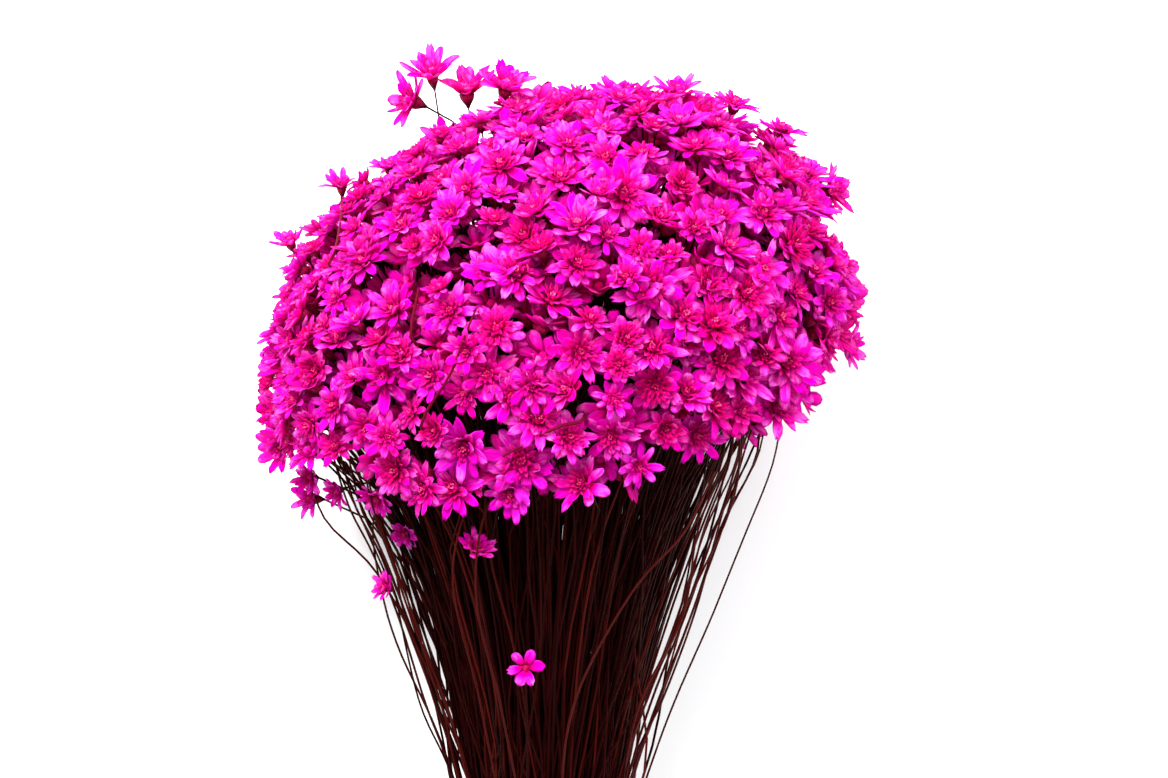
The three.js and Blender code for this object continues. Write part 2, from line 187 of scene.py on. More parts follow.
# Heads that stand out in the crown's upper side: the x and y at which each is seen, its width and look.
# They are spaced apart from the others and face the viewer more
FEATURED_HEADS = [
    (16, 253.5, 15.5, "open"), (21, 234, 15, "open"), (34, 227, 14.5, "long"), (7.5, 220.5, 12.5, "open"),
    (28, 255.5, 9.5, "double"), (36, 249.5, 10.5, "open"), (45, 249.5, 11, "open"),
    (44.5, 237.5, 11.5, "sparse"), (17, 223.5, 9.5, "double"), (29, 212.5, 12, "cup"),
    (48.5, 208.8, 11.5, "open"), (40, 208.5, 9, "sparse"), (32, 202.5, 11, "open"),
    (13.5, 202.5, 10, "open"), (19, 197.5, 8, "sparse"), (-5, 197.5, 14.5, "open"),
    (-19, 193, 12, "open"), (-17, 200.5, 12.5, "cup"),
    (-34, 215.5, 13, "sparse"), (-12, 216, 12, "sparse"), (-7, 211.5, 10.5, "open"),
    (-10, 225.5, 11.5, "long"), (-32, 230, 11.5, "cup"), (-20, 229.5, 10.5, "open"),
    (-6, 237.5, 13, "open"), (-22, 243, 10.5, "open"), (-37, 239.5, 10.5, "open"),
    (-9, 258.5, 12.5, "open"), (12, 260.5, 11, "open"), (-43, 210, 10.5, "open"),
    (-37.5, 204.5, 10.5, "open"), (-32, 203.5, 9, "open"), (-47, 217, 9.5, "double"),
    (58, 230.5, 10.5, "open"), (53, 219.5, 9, "sparse"), (-16, 253.5, 10.5, "open"),
    (-19, 248.5, 10, "cup"), (-2.5, 213.5, 10.5, "open"), (14, 211, 7.5, "sparse"),
    (-23, 204.5, 8.5, "double"), (-54, 202, 9.5, "open"), (-56.5, 215, 8, "double"),
]
FEATURED_SPACING = 5.6
FEATURED_FACING = 0.5

# Heads that stand clear of the crown: the x and y at which each is seen and its height over the axis, its
# width, facing and look
CLEAR_HEADS = [
    ((-22.5, 276.5, 0), 12, (-0.15, 1, 0.45), "goblet"),
    ((-27.3, 270.8, 0), 12, (-0.85, 0.4, 0.4), "cup"),
    ((-15.6, 273.2, 0), 12, (-0.1, 1, 0.35), "goblet"),
    ((-40.5, 254.3, 0), 8.5, (-0.08, 1, 0.15), "cup"),
    ((-51, 243, 0), 8, (-0.4, 1, 0.2), "cup"),
    ((-50.5, 237.5, 0), 6.5, (-0.6, 0.8, 0.1), "cup"),
    ((-7.5, 274.2, 0), 12.5, (0.2, 1, 0.45), "cup"),
    ((26.5, 273, 0), 10, (0.1, 1, 0.2), "cup"),
    ((38, 270.5, 0), 10, (0.3, 1, 0.2), "open"),
    ((47.2, 265.5, 0), 10, (0.3, 1, 0.1), "sparse"),
    ((57.8, 253, 0), 11, (1, 0.35, 0.35), "cup"),
    ((61.3, 221.8, 0), 9.5, (1, -0.15, 0.4), "cup"),
    ((-47.4, 191.3, 0), 9.5, (-0.85, 0.15, 0.5), "cup"),
    ((-20.5, 262.5, 0), 11, (-0.35, 0.9, 0.5), "cup"),
    ((-28.5, 258.5, 0), 9.5, (-0.1, 1, 0.2), "sparse"),
]

# Shaded heads at the rim's corner and below it, given in the same way
HANGING_HEADS = [
    ((-53, 201.5, 9), 10.5, (-0.5, 0.1, 0.8), "cup"),
    ((-42, 192.5, 12), 7, (-0.6, -0.2, 0.6), "cup"),
    ((-34, 191, 25), 8.5, (-0.4, -0.7, 0.8), "cup"),
    ((-28.5, 184, 15), 6.5, (-0.4, -0.4, 1), "cup"),
    ((-47.5, 195.5, 4), 8, (-0.5, 0.1, 0.5), "cup"),
]

# Spots, as seen, where only young heads grow at the crown's edge, deeper than elsewhere, and how far
# each reaches
BARE_SPOTS = [
    ((-59.5, 215), 4),
    ((-26, 264.5), 4),
    ((-17, 267.5), 3.5),
    ((57, 246), 4),
    ((56.5, 217.5), 3.5),
    ((42.5, 264), 3.5),
]
BARE_SPOT_DEPTH = 13
BARE_SPOT_SINK = 4.5


class LowFlower(NamedTuple):
    """A flower below the rim, given as the others are, with its stem's turn round the tie in degrees and
    the points that the stem passes."""

    seen: tuple
    width: float
    facing: tuple
    look: str
    tie_turn: float
    passing: tuple


LOW_FLOWERS = [
    LowFlower((-32.5, 173.5, 18), 7, (-0.75, 0.35, 0.45), "cup", 156, ((-18.5, 138, 9), (-25, 154, 12))),
    LowFlower((-4, 157, 31), 8, (0, 0.1, 1), "plain", 97, ((-3, 127, 16), (-3.4, 145, 22.5))),
    LowFlower((-13.5, 181.5, 33), 8.5, (0.25, 0.7, 0.5), "cup", 118, ((-6.5, 130, 14.5), (-11, 160, 24.5))),
]

# Stems that lost their head and stand off from the rest: their turn round the tie in degrees and the
# points they pass, in the bunch's frame
BARE_STEMS = [
    (5, ((20, 136, 5), (26, 153, 6), (33.5, 171, 8), (40, 188, 11), (45, 202, 14), (47, 214, 16))),
    (24, ((14.5, 137, 11), (20.5, 156, 16), (28, 175, 20), (35.5, 192, 23), (38, 202, 25), (38, 212, 27))),
    (168, ((-17, 143, 6), (-26, 165, 8), (-34, 180, 9), (-43, 189, 8), (-46, 194, 3))),
    (176, ((-20, 141, 3), (-29.5, 163, 4), (-33, 177, 8), (-34, 190, 14), (-31, 203, 20))),
    (94, ((-5, 135, 21), (-9, 158, 30), (-13, 178, 37), (-12, 194, 39), (-7, 206, 39))),
    (112, ((-9, 135, 19), (-13, 158, 28), (-17.5, 181, 36.5), (-16, 194, 38), (-12, 205, 38))),
    (75, ((3, 135, 21), (6, 158, 29), (17, 180, 34), (27, 192, 36), (33, 204, 36))),
]


class StemBand(NamedTuple):
    """Such stems side by side: how many, and the turn and points of the first and of the last one."""

    number: int
    turns: tuple
    first: tuple
    last: tuple


STEM_BANDS = [
    StemBand(
        9, (8, 30),
        ((18, 137, 5), (24, 155, 8), (30.5, 173, 11), (36, 190, 14), (42, 204, 17), (43, 214, 20)),
        ((15.5, 137, 11), (20, 155, 16), (26.5, 173, 20), (31, 190, 23), (34.5, 204, 25), (36, 214, 27)),
    ),
    StemBand(
        7, (178, 158),
        ((-18.5, 138, 3), (-23.5, 153, 5), (-29, 171, 8), (-33.5, 184, 11), (-38, 194, 14), (-41, 205, 17)),
        ((-16, 138, 10), (-20, 153, 14), (-25, 171, 19), (-29, 184, 22), (-32, 194, 24), (-35, 205, 26)),
    ),
]
BAND_SPREAD = 1.2

# Bare twigs that lie over the crown: the x and y at which each point is seen
LOOSE_TWIGS = [
    ((-13.6, 229.4), (-15.5, 225), (-17, 221), (-18.5, 217), (-21, 213), (-23.5, 209.4), (-25, 205)),
    ((-25, 233.4), (-25.6, 231), (-26, 228.5), (-26.7, 226), (-26.5, 222.5)),
    ((-8.5, 199.8), (-6, 201.2), (-3, 202.3), (0.4, 204.5), (4, 206), (8, 206.8)),
    ((-40.3, 251.5), (-40.4, 248), (-40.9, 244), (-41.8, 240), (-43, 237)),
]
TWIG_RISE = 0.2
TWIG_TONE = 1.2
TWIG_THICKER = 1.15
BARE_TONE = 0.85


class Draw(IntEnum):
    """What a repeatable number is drawn for. Two that share a number take the same draw."""

    TILT_X = 1
    TILT_Y = 2
    TILT_Z = 3
    DEPTH = 4
    SIZE = 5
    YOUNG_DEPTH = 5
    YOUNG_SIZE = 6
    CUT_END = 8
    OPENNESS = 11
    FULLNESS = 12
    ROSETTE = 13
    PARTING_X = 14
    PARTING_Z = 15
    LOWER_BEND = 16
    LOWER_BEND_X = 17
    LOWER_BEND_Z = 18
    STRAYING = 19
    TURN = 20
    SHADE = 21
    UPPER_BEND = 22
    UPPER_BEND_X = 23
    UPPER_BEND_Z = 24
    DRIFT_X = 24
    DRIFT_Y = 25
    DRIFT_Z = 26
    THINNING = 27
    THICKNESS = 30
    TONE = 31
    TWINE_TONE = 40


# What scatters the draws: a sine's phase by thing and by draw, and its height
PHASE_BY_THING = 127.1
PHASE_BY_DRAW = 311.7
WAVE_HEIGHT = 43758.5453


def noise(thing, draw):
    """A repeatable number from 0 to 1 for one thing and one draw."""
    wave = math.sin(thing * PHASE_BY_THING + draw * PHASE_BY_DRAW) * WAVE_HEIGHT
    return wave - math.floor(wave)


def spread(thing, draw):
    """The same, from -1 to 1."""
    return 2 * noise(thing, draw) - 1


def between(low, high, share):
    """The number at a share of the way from a low to a high one."""
    return low + (high - low) * share


DRIFTS = (Draw.DRIFT_X, Draw.DRIFT_Y, Draw.DRIFT_Z)

# A stem's bends on its way from the tie to where it parts: how far along each is, and its draws
STEM_BENDS = [
    (0.3, Draw.LOWER_BEND, Draw.LOWER_BEND_X, Draw.LOWER_BEND_Z),
    (0.65, Draw.UPPER_BEND, Draw.UPPER_BEND_X, Draw.UPPER_BEND_Z),
]

# The axes of the crown and of the floor, in the bunch's own frame
LONG_AXIS = Vector((math.cos(CROWN_LEAN), math.sin(CROWN_LEAN), 0))
SHORT_AXIS = Vector((-math.sin(CROWN_LEAN), math.cos(CROWN_LEAN), 0))
DEEP_AXIS = Vector((0, 0, 1))
FLOOR_NORMAL = Vector((0, math.sin(LYING_TILT), math.cos(LYING_TILT)))


def to_crown(offset):
    """Crown coordinates: scaled so that the crown's surface is a unit sphere."""
    return Vector((
        offset.dot(LONG_AXIS) / CROWN_HALF_LONG,
        offset.dot(SHORT_AXIS) / CROWN_HALF_SHORT,
        offset.z / CROWN_HALF_DEEP,
    ))


def crown_direction(point):
    """The direction from the crown's middle to a point, in crown coordinates."""
    return to_crown(point - CROWN_MIDDLE).normalized()


def crown_normal(point):
    """The direction straight out of the crown at a point."""
    scaled = to_crown(point - CROWN_MIDDLE)
    normal = LONG_AXIS * (scaled.x / CROWN_HALF_LONG) + SHORT_AXIS * (scaled.y / CROWN_HALF_SHORT)
    return (normal + DEEP_AXIS * (scaled.z / CROWN_HALF_DEEP)).normalized()


def on_crown(fall, turn):
    """A point of the crown's surface, by its angle down from the leaning top and its turn round it."""
    along = LONG_AXIS * (CROWN_HALF_LONG * math.sin(fall) * math.cos(turn))
    up = SHORT_AXIS * (CROWN_HALF_SHORT * math.cos(fall))
    return CROWN_MIDDLE + along + up + DEEP_AXIS * (CROWN_HALF_DEEP * math.sin(fall) * math.sin(turn))


def above_rim(point):
    """How far a point is above the rim, which slopes across the crown, turns up towards its one side and
    steps up towards the other."""
    beyond = max(0, point.x - RIM_CURVES_FROM)
    share = min(1, max(0, (point.x - RIM_STEP_STARTS) / (RIM_STEP_ENDS - RIM_STEP_STARTS)))
    step = RIM_STEP * share * share * (3 - 2 * share)
    return point.y - RIM_HEIGHT - RIM_SLOPE * point.x - RIM_CURVE * beyond * beyond - step


def as_seen(point):
    """The x and y at which a point is seen."""
    nearer = 1 - point.z / VIEW_DISTANCE
    along = point.y * math.cos(LYING_TILT) - point.z * math.sin(LYING_TILT)
    return VIEW_MIDDLE + (Vector((point.x, along)) - VIEW_MIDDLE) / nearer


def at_bare_spot(point):
    """Whether a point is at one of the bare spots of the crown's edge."""
    seen = as_seen(point)
    near = any((seen - Vector(spot)).length < reach for spot, reach in BARE_SPOTS)
    return near and abs(point.z) < BARE_SPOT_DEPTH


def grows_at(point, thing, thin_share):
    """Whether a head grows at a point: above the rim, and only some of them close to the rim's middle."""
    thin = noise(thing, Draw.THINNING) < thin_share and abs(point.x - CROWN_MIDDLE.x) < THIN_HALF_WIDTH
    return above_rim(point) > (THIN_BAND if thin else 0)


def rim_fall(turn):
    """The angle down from the crown's top at which its surface meets the rim, found by halving."""
    above, below = RIM_SEARCH_FROM, math.pi
    for _ in range(HALVINGS):
        middle = (above + below) / 2
        if above_rim(on_crown(middle, turn)) > 0:
            above = middle
        else:
            below = middle
    return above


def floor_below(y):
    """The floor's z below a place along the bunch's axis, in the bunch's own frame."""
    return -(STEMS_RADIUS_AT_ENDS + y * math.tan(LYING_TILT))


def seen_at(x, y, height=None):
    """The point of the crown's upper side, or at a height over the axis, that is seen at an x and y."""
    point = Vector((0, 0, CROWN_HALF_DEEP / 2 if height is None else height))
    for _ in range(SEEN_ROUNDS):
        nearer = 1 - point.z / VIEW_DISTANCE
        point.x = VIEW_MIDDLE.x + (x - VIEW_MIDDLE.x) * nearer
        along = VIEW_MIDDLE.y + (y - VIEW_MIDDLE.y) * nearer
        point.y = (along + point.z * math.sin(LYING_TILT)) / math.cos(LYING_TILT)
        flat = to_crown(Vector((point.x, point.y, 0)) - CROWN_MIDDLE).length_squared
        if height is None:
            point.z = CROWN_HALF_DEEP * math.sqrt(max(0, 1 - flat))
    return point


TO_WORLD = Matrix.Translation((
    -LYING_MIDDLE.x * MILLIMETRE,
    -LYING_MIDDLE.y * MILLIMETRE,
    STEMS_RADIUS_AT_ENDS * math.cos(LYING_TILT) * MILLIMETRE,
)) @ Matrix.Rotation(LYING_TILT, 4, "X") @ Matrix.Scale(MILLIMETRE, 4)


def in_world(point):
    """A point of the bunch's own frame, in metres where it lies."""
    return TO_WORLD @ point


def world_direction(direction):
    """A direction of the bunch's own frame, as it lies."""
    return (TO_WORLD.to_3x3() @ direction).normalized()


class Head:
    """A flower head: its petals' middle, the way it faces, its radius and its look."""

    def __init__(self, point, axis, radius, thing, look=None, kind="grown"):
        self.point = point
        self.axis = axis.normalized()
        self.radius = radius
        self.thing = thing
        self.kind = kind
        self.turn = 0 if kind == "plain" else 2 * math.pi * noise(thing, Draw.TURN)
        if look is None:
            self.openness = spread(thing, Draw.OPENNESS)
            self.fullness = noise(thing, Draw.FULLNESS)
            self.rosette = max(0, ROSETTE_SPREAD * noise(thing, Draw.ROSETTE) - ROSETTE_LESS)
        else:
            self.openness, self.fullness, self.rosette = LOOKS[look]

    def neck(self, depth):
        """A point on the head's own axis, so many of its radii below its petals' middle."""
        return self.point - self.axis * (self.radius * depth)


def crown_head(point, radius, thing, look=None):
    """A head at a point of the crown, which drifts along the crown unless it has a look given."""
    outward = crown_normal(point)
    axis = outward + Vector((
        HEAD_TILT_SPREAD * spread(thing, Draw.TILT_X),
        HEAD_UPWARD_LEAN + HEAD_TILT_SPREAD * spread(thing, Draw.TILT_Y),
        HEAD_TILT_SPREAD * spread(thing, Draw.TILT_Z),
    ))
    axis.normalize()
    point = point + outward * (HEAD_DEPTH_SPREAD * (noise(thing, Draw.DEPTH) - 1))
    if look is None:
        drift = Vector([spread(thing, draw) for draw in DRIFTS]) * HEAD_DRIFT
        point += drift - outward * drift.dot(outward)
    else:
        axis += DEEP_AXIS * FEATURED_FACING
    if point.z < floor_below(point.y):
        point.z = floor_below(point.y)
        axis -= FLOOR_NORMAL * PRESSED_TURN
    return Head(point, axis, radius, thing, look, "low" if point.z < PLAINER_BELOW else "grown")


def spiral(index, number):
    """One of a number of points spread evenly over the whole crown."""
    return on_crown(math.acos(1 - (2 * index + 1) / number), index * GOLDEN_ANGLE)


def crown_heads():
    """Heads in an even spiral, with the featured ones in front in place of those near them."""
    heads = [
        crown_head(seen_at(x, y), width / 2, CROWN_HEADS + index, look)
        for index, (x, y, width, look) in enumerate(FEATURED_HEADS)
    ]
    featured = [head.point for head in heads]
    for index in range(CROWN_HEADS):
        point = spiral(index, CROWN_HEADS)
        crowded = any((other - point).length < FEATURED_SPACING for other in featured)
        if grows_at(point, index, THIN_SHARE) and not crowded and not at_bare_spot(point):
            radius = between(HEAD_RADIUS_LEAST, HEAD_RADIUS_MOST, noise(index, Draw.SIZE))
            radius *= 1 + LARGER_BY * crown_normal(point).dot(LARGER_SIDE)
            heads.append(crown_head(point, radius, index))
    return heads


def young_heads():
    """Heads below the crown's surface, in the gaps between the others."""
    heads = []
    for index in range(YOUNG_HEADS):
        thing = YOUNG_NUMBER + index
        point = spiral(index, YOUNG_HEADS)
        sunk = BARE_SPOT_SINK if at_bare_spot(point) else 0
        depth = YOUNG_DEPTH + YOUNG_DEPTH_SPREAD * spread(thing, Draw.YOUNG_DEPTH) + sunk
        point -= crown_normal(point) * depth
        if grows_at(point, thing, YOUNG_THIN_SHARE) and point.z > floor_below(point.y) + YOUNG_DEPTH:
            radius = between(YOUNG_RADIUS_LEAST, YOUNG_RADIUS_MOST, noise(thing, Draw.YOUNG_SIZE))
            head = crown_head(point, radius, thing)
            head.kind = "young"
            heads.append(head)
    return heads


def placed_heads(places, first_number):
    """Heads at given places, numbered from a first number on."""
    return [
        Head(seen_at(*seen), Vector(facing), width / 2, first_number + index, look)
        for index, (seen, width, facing, look) in enumerate(places)
    ]


def cluster_direction(number):
    """The direction from the crown's middle to the middle of one cluster's part of it."""
    turn = number * GOLDEN_ANGLE
    share = (number + 0.5) / CLUSTERS
    fall = math.acos(1 - share * (1 - math.cos(rim_fall(turn))))
    return crown_direction(on_crown(fall, turn))


CLUSTER_DIRECTIONS = [cluster_direction(number) for number in range(CLUSTERS)]


def cluster_of(point):
    """The number of the cluster in whose part of the crown a point lies."""
    direction = crown_direction(point)
    return max(range(CLUSTERS), key=lambda number: CLUSTER_DIRECTIONS[number].dot(direction))


def all_heads():
    """Every head of the crown, sorted by cluster."""
    groups = [[] for _ in range(CLUSTERS)]
    placed = placed_heads(CLEAR_HEADS, CLEAR_NUMBER) + placed_heads(HANGING_HEADS, HANGING_NUMBER)
    for head in crown_heads() + young_heads() + placed:
        groups[cluster_of(head.point)].append(head)
    return groups


def stems_radius(height, tied_radius):
    """The radius of all the stems together, from their cut ends to the tie."""
    return between(STEMS_RADIUS_AT_ENDS, tied_radius, min(1, height / (TIE_HEIGHT - TIE_LENGTH)))


def tie_places(place, thing, tied_radius):
    """Where a stem runs from its cut end through the tie, by its place in the disc of stems."""
    cut_end = CUT_SPREAD * noise(thing, Draw.CUT_END)
    points = []
    for height in (cut_end, TIE_HEIGHT / 2, TIE_HEIGHT - TIE_LENGTH, TIE_HEIGHT):
        radius = stems_radius(height, tied_radius)
        points.append(Vector((place.x * radius, height, place.y * radius)))
    return points


def outer_tie_places(turn, thing, tied_radius):
    """The same for a stem at the disc's edge, by its turn round it in degrees."""
    angle = math.radians(turn)
    return tie_places(Vector((math.cos(angle), math.sin(angle))), thing, tied_radius)


def strays(thing):
    """Whether a stem wanders more than most."""
    return noise(thing, Draw.STRAYING) < STRAY_SHARE


def stem_route(head):
    """A stem's way from its cut end through the tie to where it parts from the others, and to its head."""
    direction = crown_direction(head.point)
    turn = math.atan2(direction.z, direction.x)
    share = min(1, (1 - direction.y) / (1 - math.cos(rim_fall(turn))))
    turn += BUNCHING * math.sin(BUNCHES * turn)
    place = Vector((math.cos(turn), math.sin(turn))) * math.sqrt(share)
    route = tie_places(place, head.thing, TIED_RADIUS)
    tied = Vector((place.x * STEMS_RADIUS_AT_TIE, TIE_HEIGHT, place.y * STEMS_RADIUS_AT_TIE))
    nearness = between(PARTING_NEARNESS_AT_TOP, PARTING_NEARNESS_AT_RIM, share)
    parting = tied.lerp(head.point, PARTING_HEIGHT_SHARE)
    parting.x = parting.x * nearness + PARTING_SPREAD * spread(head.thing, Draw.PARTING_X)
    parting.z = parting.z * nearness + PARTING_SPREAD * spread(head.thing, Draw.PARTING_Z)
    parting.z = max(parting.z, floor_below(parting.y) + STEM_CLEARANCE)
    wander = STRAY_WANDER if strays(head.thing) else STEM_WANDER
    middles = []
    for way, draw, draw_x, draw_z in STEM_BENDS:
        middle = route[-1].lerp(parting, way + BEND_PLACE_SPREAD * spread(head.thing, draw))
        narrow = between(1, FLARE, 4 * way * (1 - way))
        middle.x = middle.x * narrow + wander * spread(head.thing, draw_x)
        middle.z = middle.z * narrow + wander * spread(head.thing, draw_z)
        middles.append(middle)
    end = head.neck(CALYX_DEPTH - STEM_IN_CALYX)
    neck = end - head.axis * STEM_NECK
    bend = neck - (head.axis + (neck - parting).normalized()) * (STEM_BEND / 2)
    return route + middles + [parting, bend, neck, end]


# One head's proportions, in shares of its radius below the petals' middle
RECEPTACLE_DEPTH = 0.28
CALYX_DEPTH = 0.78
STEM_IN_CALYX = 0.04


class BladeShape(NamedTuple):
    """A petal's shape: its widest place, its base's and tip's width, and how it bends."""

    widest: float = 0.62
    base: float = 0.32
    tip: float = 0.42
    round_tip: float = 0.06
    notch: float = 0.0
    rise: float = 0.1
    curl: float = 0.0
    cup: float = 0.12
    sway: float = 0.0


PETAL_SHAPES = [
    BladeShape(tip=0.5, curl=-0.2),
    BladeShape(widest=0.66, tip=0.62, notch=0.05, rise=0.15, curl=-0.5, cup=0.16, sway=0.06),
    BladeShape(widest=0.6, tip=0.42, round_tip=0.09, rise=0.0, curl=0.3, cup=0.2, sway=-0.08),
    BladeShape(widest=0.64, tip=0.58, round_tip=0.05, rise=0.3, curl=-0.8, cup=0.08, sway=0.1),
    BladeShape(widest=0.7, tip=0.66, round_tip=0.02, notch=0.06, rise=-0.05, curl=0.4, cup=0.14),
    BladeShape(widest=0.62, tip=0.36, round_tip=0.1, rise=0.15, curl=-0.35, cup=0.24, sway=-0.05),
    BladeShape(widest=0.68, tip=0.56, rise=0.05, curl=0.1, cup=-0.1, sway=0.1),
    BladeShape(widest=0.66, base=0.26, tip=0.5, notch=0.04, rise=0.25, curl=-0.6, sway=-0.1),
]
BRACT_SHAPES = [
    BladeShape(widest=0.6, base=0.6, tip=0.4, rise=-0.1, curl=0.5, cup=0.3),
    BladeShape(widest=0.55, base=0.5, tip=0.5, rise=0.0, curl=0.2, cup=0.25, sway=0.08),
    BladeShape(widest=0.65, base=0.5, tip=0.35, rise=0.1, curl=-0.3, cup=0.35, sway=-0.08),
]
SCALE_SHAPES = [BladeShape(widest=0.4, base=0.8, tip=0.2, rise=0.1, curl=0.35, cup=0.5)]
FLORET_SHAPES = [
    BladeShape(widest=0.75, base=0.5, tip=0.8, curl=0.2, cup=0.6),
    BladeShape(widest=0.8, base=0.4, tip=0.6, rise=0.2, curl=-0.3, cup=0.6),
]
PETAL_THICKNESS = 0.035


def add_numbers(mesh, numbers):
    """Gives each point of a mesh its number under each name."""
    for name, values in numbers.items():
        mesh.attributes.new(name, "FLOAT", "POINT").data.foreach_set("value", values)


class Surface:
    """Points, each with the two coordinates that its finish follows, and the faces between them."""

    def __init__(self):
        self.points = []
        self.along = []
        self.across = []
        self.faces = []

    def put(self, point, along, across):
        """Adds a point, and gives its number."""
        self.points.append(point)
        self.along.append(along)
        self.across.append(across)
        return len(self.points) - 1

    def shape(self, name):
        """The surface as a smooth object to copy."""
        mesh = bpy.data.meshes.new(name)
        mesh.from_pydata(self.points, [], self.faces)
        add_numbers(mesh, {"along": self.along, "across": self.across})
        mesh.shade_smooth()
        return bpy.data.objects.new(name, mesh)


def half_width(shape, share):
    """Half a blade's width at a share of its length."""
    if share < shape.widest:
        growth = math.sin(math.pi / 2 * share / shape.widest)
        return between(shape.base, 1, growth) / 2
    fall = math.cos(math.pi / 2 * (share - shape.widest) / (1 - shape.widest))
    return between(shape.tip, 1, math.sqrt(max(0, fall))) / 2


def blade(name, shape, rows, columns):
    """A petal as a thin closed shell, one long and one wide, along +X with its inner face up."""
    surface = Surface()
    x, z, before = 0.0, 0.0, 0.0
    tops, bottoms = {}, {}
    for row, share in enumerate(rows):
        slope = shape.rise + shape.curl * (share + before) / 2
        x += math.cos(slope) * (share - before)
        z += math.sin(slope) * (share - before)
        before = share
        half = half_width(shape, share)
        for column in range(columns + 1):
            side = 2 * column / columns - 1
            middle = 1 - side * side
            place = Vector((
                x + (shape.round_tip * middle - shape.notch * math.cos(2 * math.pi * side)) * share ** 4,
                side * half + shape.sway * share * share,
                z + shape.cup * half * (side * side - 0.5),
            ))
            top = surface.put(place, share, side)
            edge = row in (0, len(rows) - 1) or column in (0, columns)
            below = place - Vector((0, 0, PETAL_THICKNESS * (1 + middle) / 2))
            tops[row, column] = top
            bottoms[row, column] = top if edge else surface.put(below, share, side)
    for row in range(len(rows) - 1):
        for column in range(columns):
            corners = [(row, column), (row + 1, column), (row + 1, column + 1), (row, column + 1)]
            surface.faces.append([tops[corner] for corner in corners])
            surface.faces.append([bottoms[corner] for corner in reversed(corners)])
    return surface.shape(name)


def lathe(name, profile, sides):
    """A closed turned shape round +Z, from a profile of (radius, height) that starts and ends at 0."""
    surface = Surface()
    rings = []
    for index, (radius, height) in enumerate(profile):
        share = index / (len(profile) - 1)
        if radius == 0:
            rings.append([surface.put(Vector((0, 0, height)), share, 0)] * sides)
            continue
        ring = []
        for side in range(sides):
            angle = 2 * math.pi * side / sides
            point = Vector((radius * math.cos(angle), radius * math.sin(angle), height))
            ring.append(surface.put(point, share, abs(2 * side / sides - 1)))
        rings.append(ring)
    for lower, upper in zip(rings, rings[1:]):
        for side in range(sides):
            after = (side + 1) % sides
            corners = [lower[side], lower[after], upper[after], upper[side]]
            surface.faces.append(list(dict.fromkeys(corners)))
    return surface.shape(name)


PETAL_ROWS = (0, 0.3, 0.6, 0.86, 1)
INNER_PETAL_ROWS = (0, 0.4, 0.8, 1)
SCALE_ROWS = (0, 0.55, 1)
CALYX_PROFILE = (
    (0, -0.5), (0.05, -0.5), (0.08, -0.42), (0.15, -0.3), (0.23, -0.16), (0.27, 0.02), (0, 0.05),
)
CALYX_SIDES = 7
DISC_PROFILE = ((0, -0.04), (0.19, 0.02), (0.14, 0.16), (0, 0.2))
DISC_SIDES = 6


def linked(name, data):
    """An object linked into the scene."""
    thing = bpy.data.objects.new(name, data)
    bpy.context.scene.collection.objects.link(thing)
    return thing


def collection_of(name, objects):
    """A collection that stays out of the scene."""
    made = bpy.data.collections.new(name)
    for thing in objects:
        made.objects.link(thing)
    return made


@functools.cache
def shape_collections():
    """The shapes that a head is made of, each kind in a collection of its own."""
    def blades(name, shapes, rows, columns):
        return collection_of(name, [
            blade(f"{name}_{index}", shape, rows, columns) for index, shape in enumerate(shapes)
        ])
    return {
        "petals": blades("petals", PETAL_SHAPES, PETAL_ROWS, 4),
        "inner_petals": blades("inner_petals", PETAL_SHAPES, INNER_PETAL_ROWS, 3),
        "young_petals": blades("young_petals", PETAL_SHAPES, INNER_PETAL_ROWS, 2),
        "bracts": blades("bracts", BRACT_SHAPES, SCALE_ROWS, 2),
        "scales": blades("scales", SCALE_SHAPES, SCALE_ROWS, 2),
        "florets": blades("florets", FLORET_SHAPES, SCALE_ROWS, 2),
        "calyx": collection_of("calyx", [lathe("calyx_cup", CALYX_PROFILE, CALYX_SIDES)]),
        "disc": collection_of("disc", [lathe("disc_dome", DISC_PROFILE, DISC_SIDES)]),
    }


def open_socket(sockets, key):
    """A node's socket by its place, or by its name among those in use."""
    if isinstance(key, int):
        return sockets[key]
    return next(socket for socket in sockets if socket.name == key and socket.enabled)


def fill(tree, node, inputs):
    """Gives a node's inputs their values, or sockets to link to."""
    for key, value in inputs.items():
        socket = open_socket(node.inputs, key)
        if isinstance(value, bpy.types.NodeSocket):
            tree.links.new(value, socket)
        else:
            socket.default_value = value


def add(tree, kind, inputs=None, **settings):
    """Adds a node with its settings and inputs."""
    node = tree.nodes.new(kind)
    for name, value in settings.items():
        setattr(node, name, value)
    fill(tree, node, inputs or {})
    return node


def math_of(operation, *values):
    """The result of an operation on sockets and numbers, in the tree that the sockets belong to."""
    tree = next(value.id_data for value in values if isinstance(value, bpy.types.NodeSocket))
    return add(tree, "ShaderNodeMath", dict(enumerate(values)), operation=operation).outputs[0]


def plus(one, other):
    return math_of("ADD", one, other)


def minus(one, other):
    return math_of("SUBTRACT", one, other)


def times(one, other):
    return math_of("MULTIPLY", one, other)


def times_plus(one, other, more):
    return math_of("MULTIPLY_ADD", one, other, more)


def vector_of(tree, x=0.0, y=0.0, z=0.0):
    return add(tree, "ShaderNodeCombineXYZ", {"X": x, "Y": y, "Z": z}).outputs[0]


def position_of(tree):
    return add(tree, "GeometryNodeInputPosition").outputs[0]


def attribute_of(tree, name, kind="FLOAT"):
    node = add(tree, "GeometryNodeInputNamedAttribute", {"Name": name}, data_type=kind)
    return open_socket(node.outputs, "Attribute")


def store(tree, geometry, name, value):
    inputs = {"Geometry": geometry, "Name": name, "Value": value}
    node = add(tree, "GeometryNodeStoreNamedAttribute", inputs, data_type="FLOAT", domain="POINT")
    return node.outputs["Geometry"]


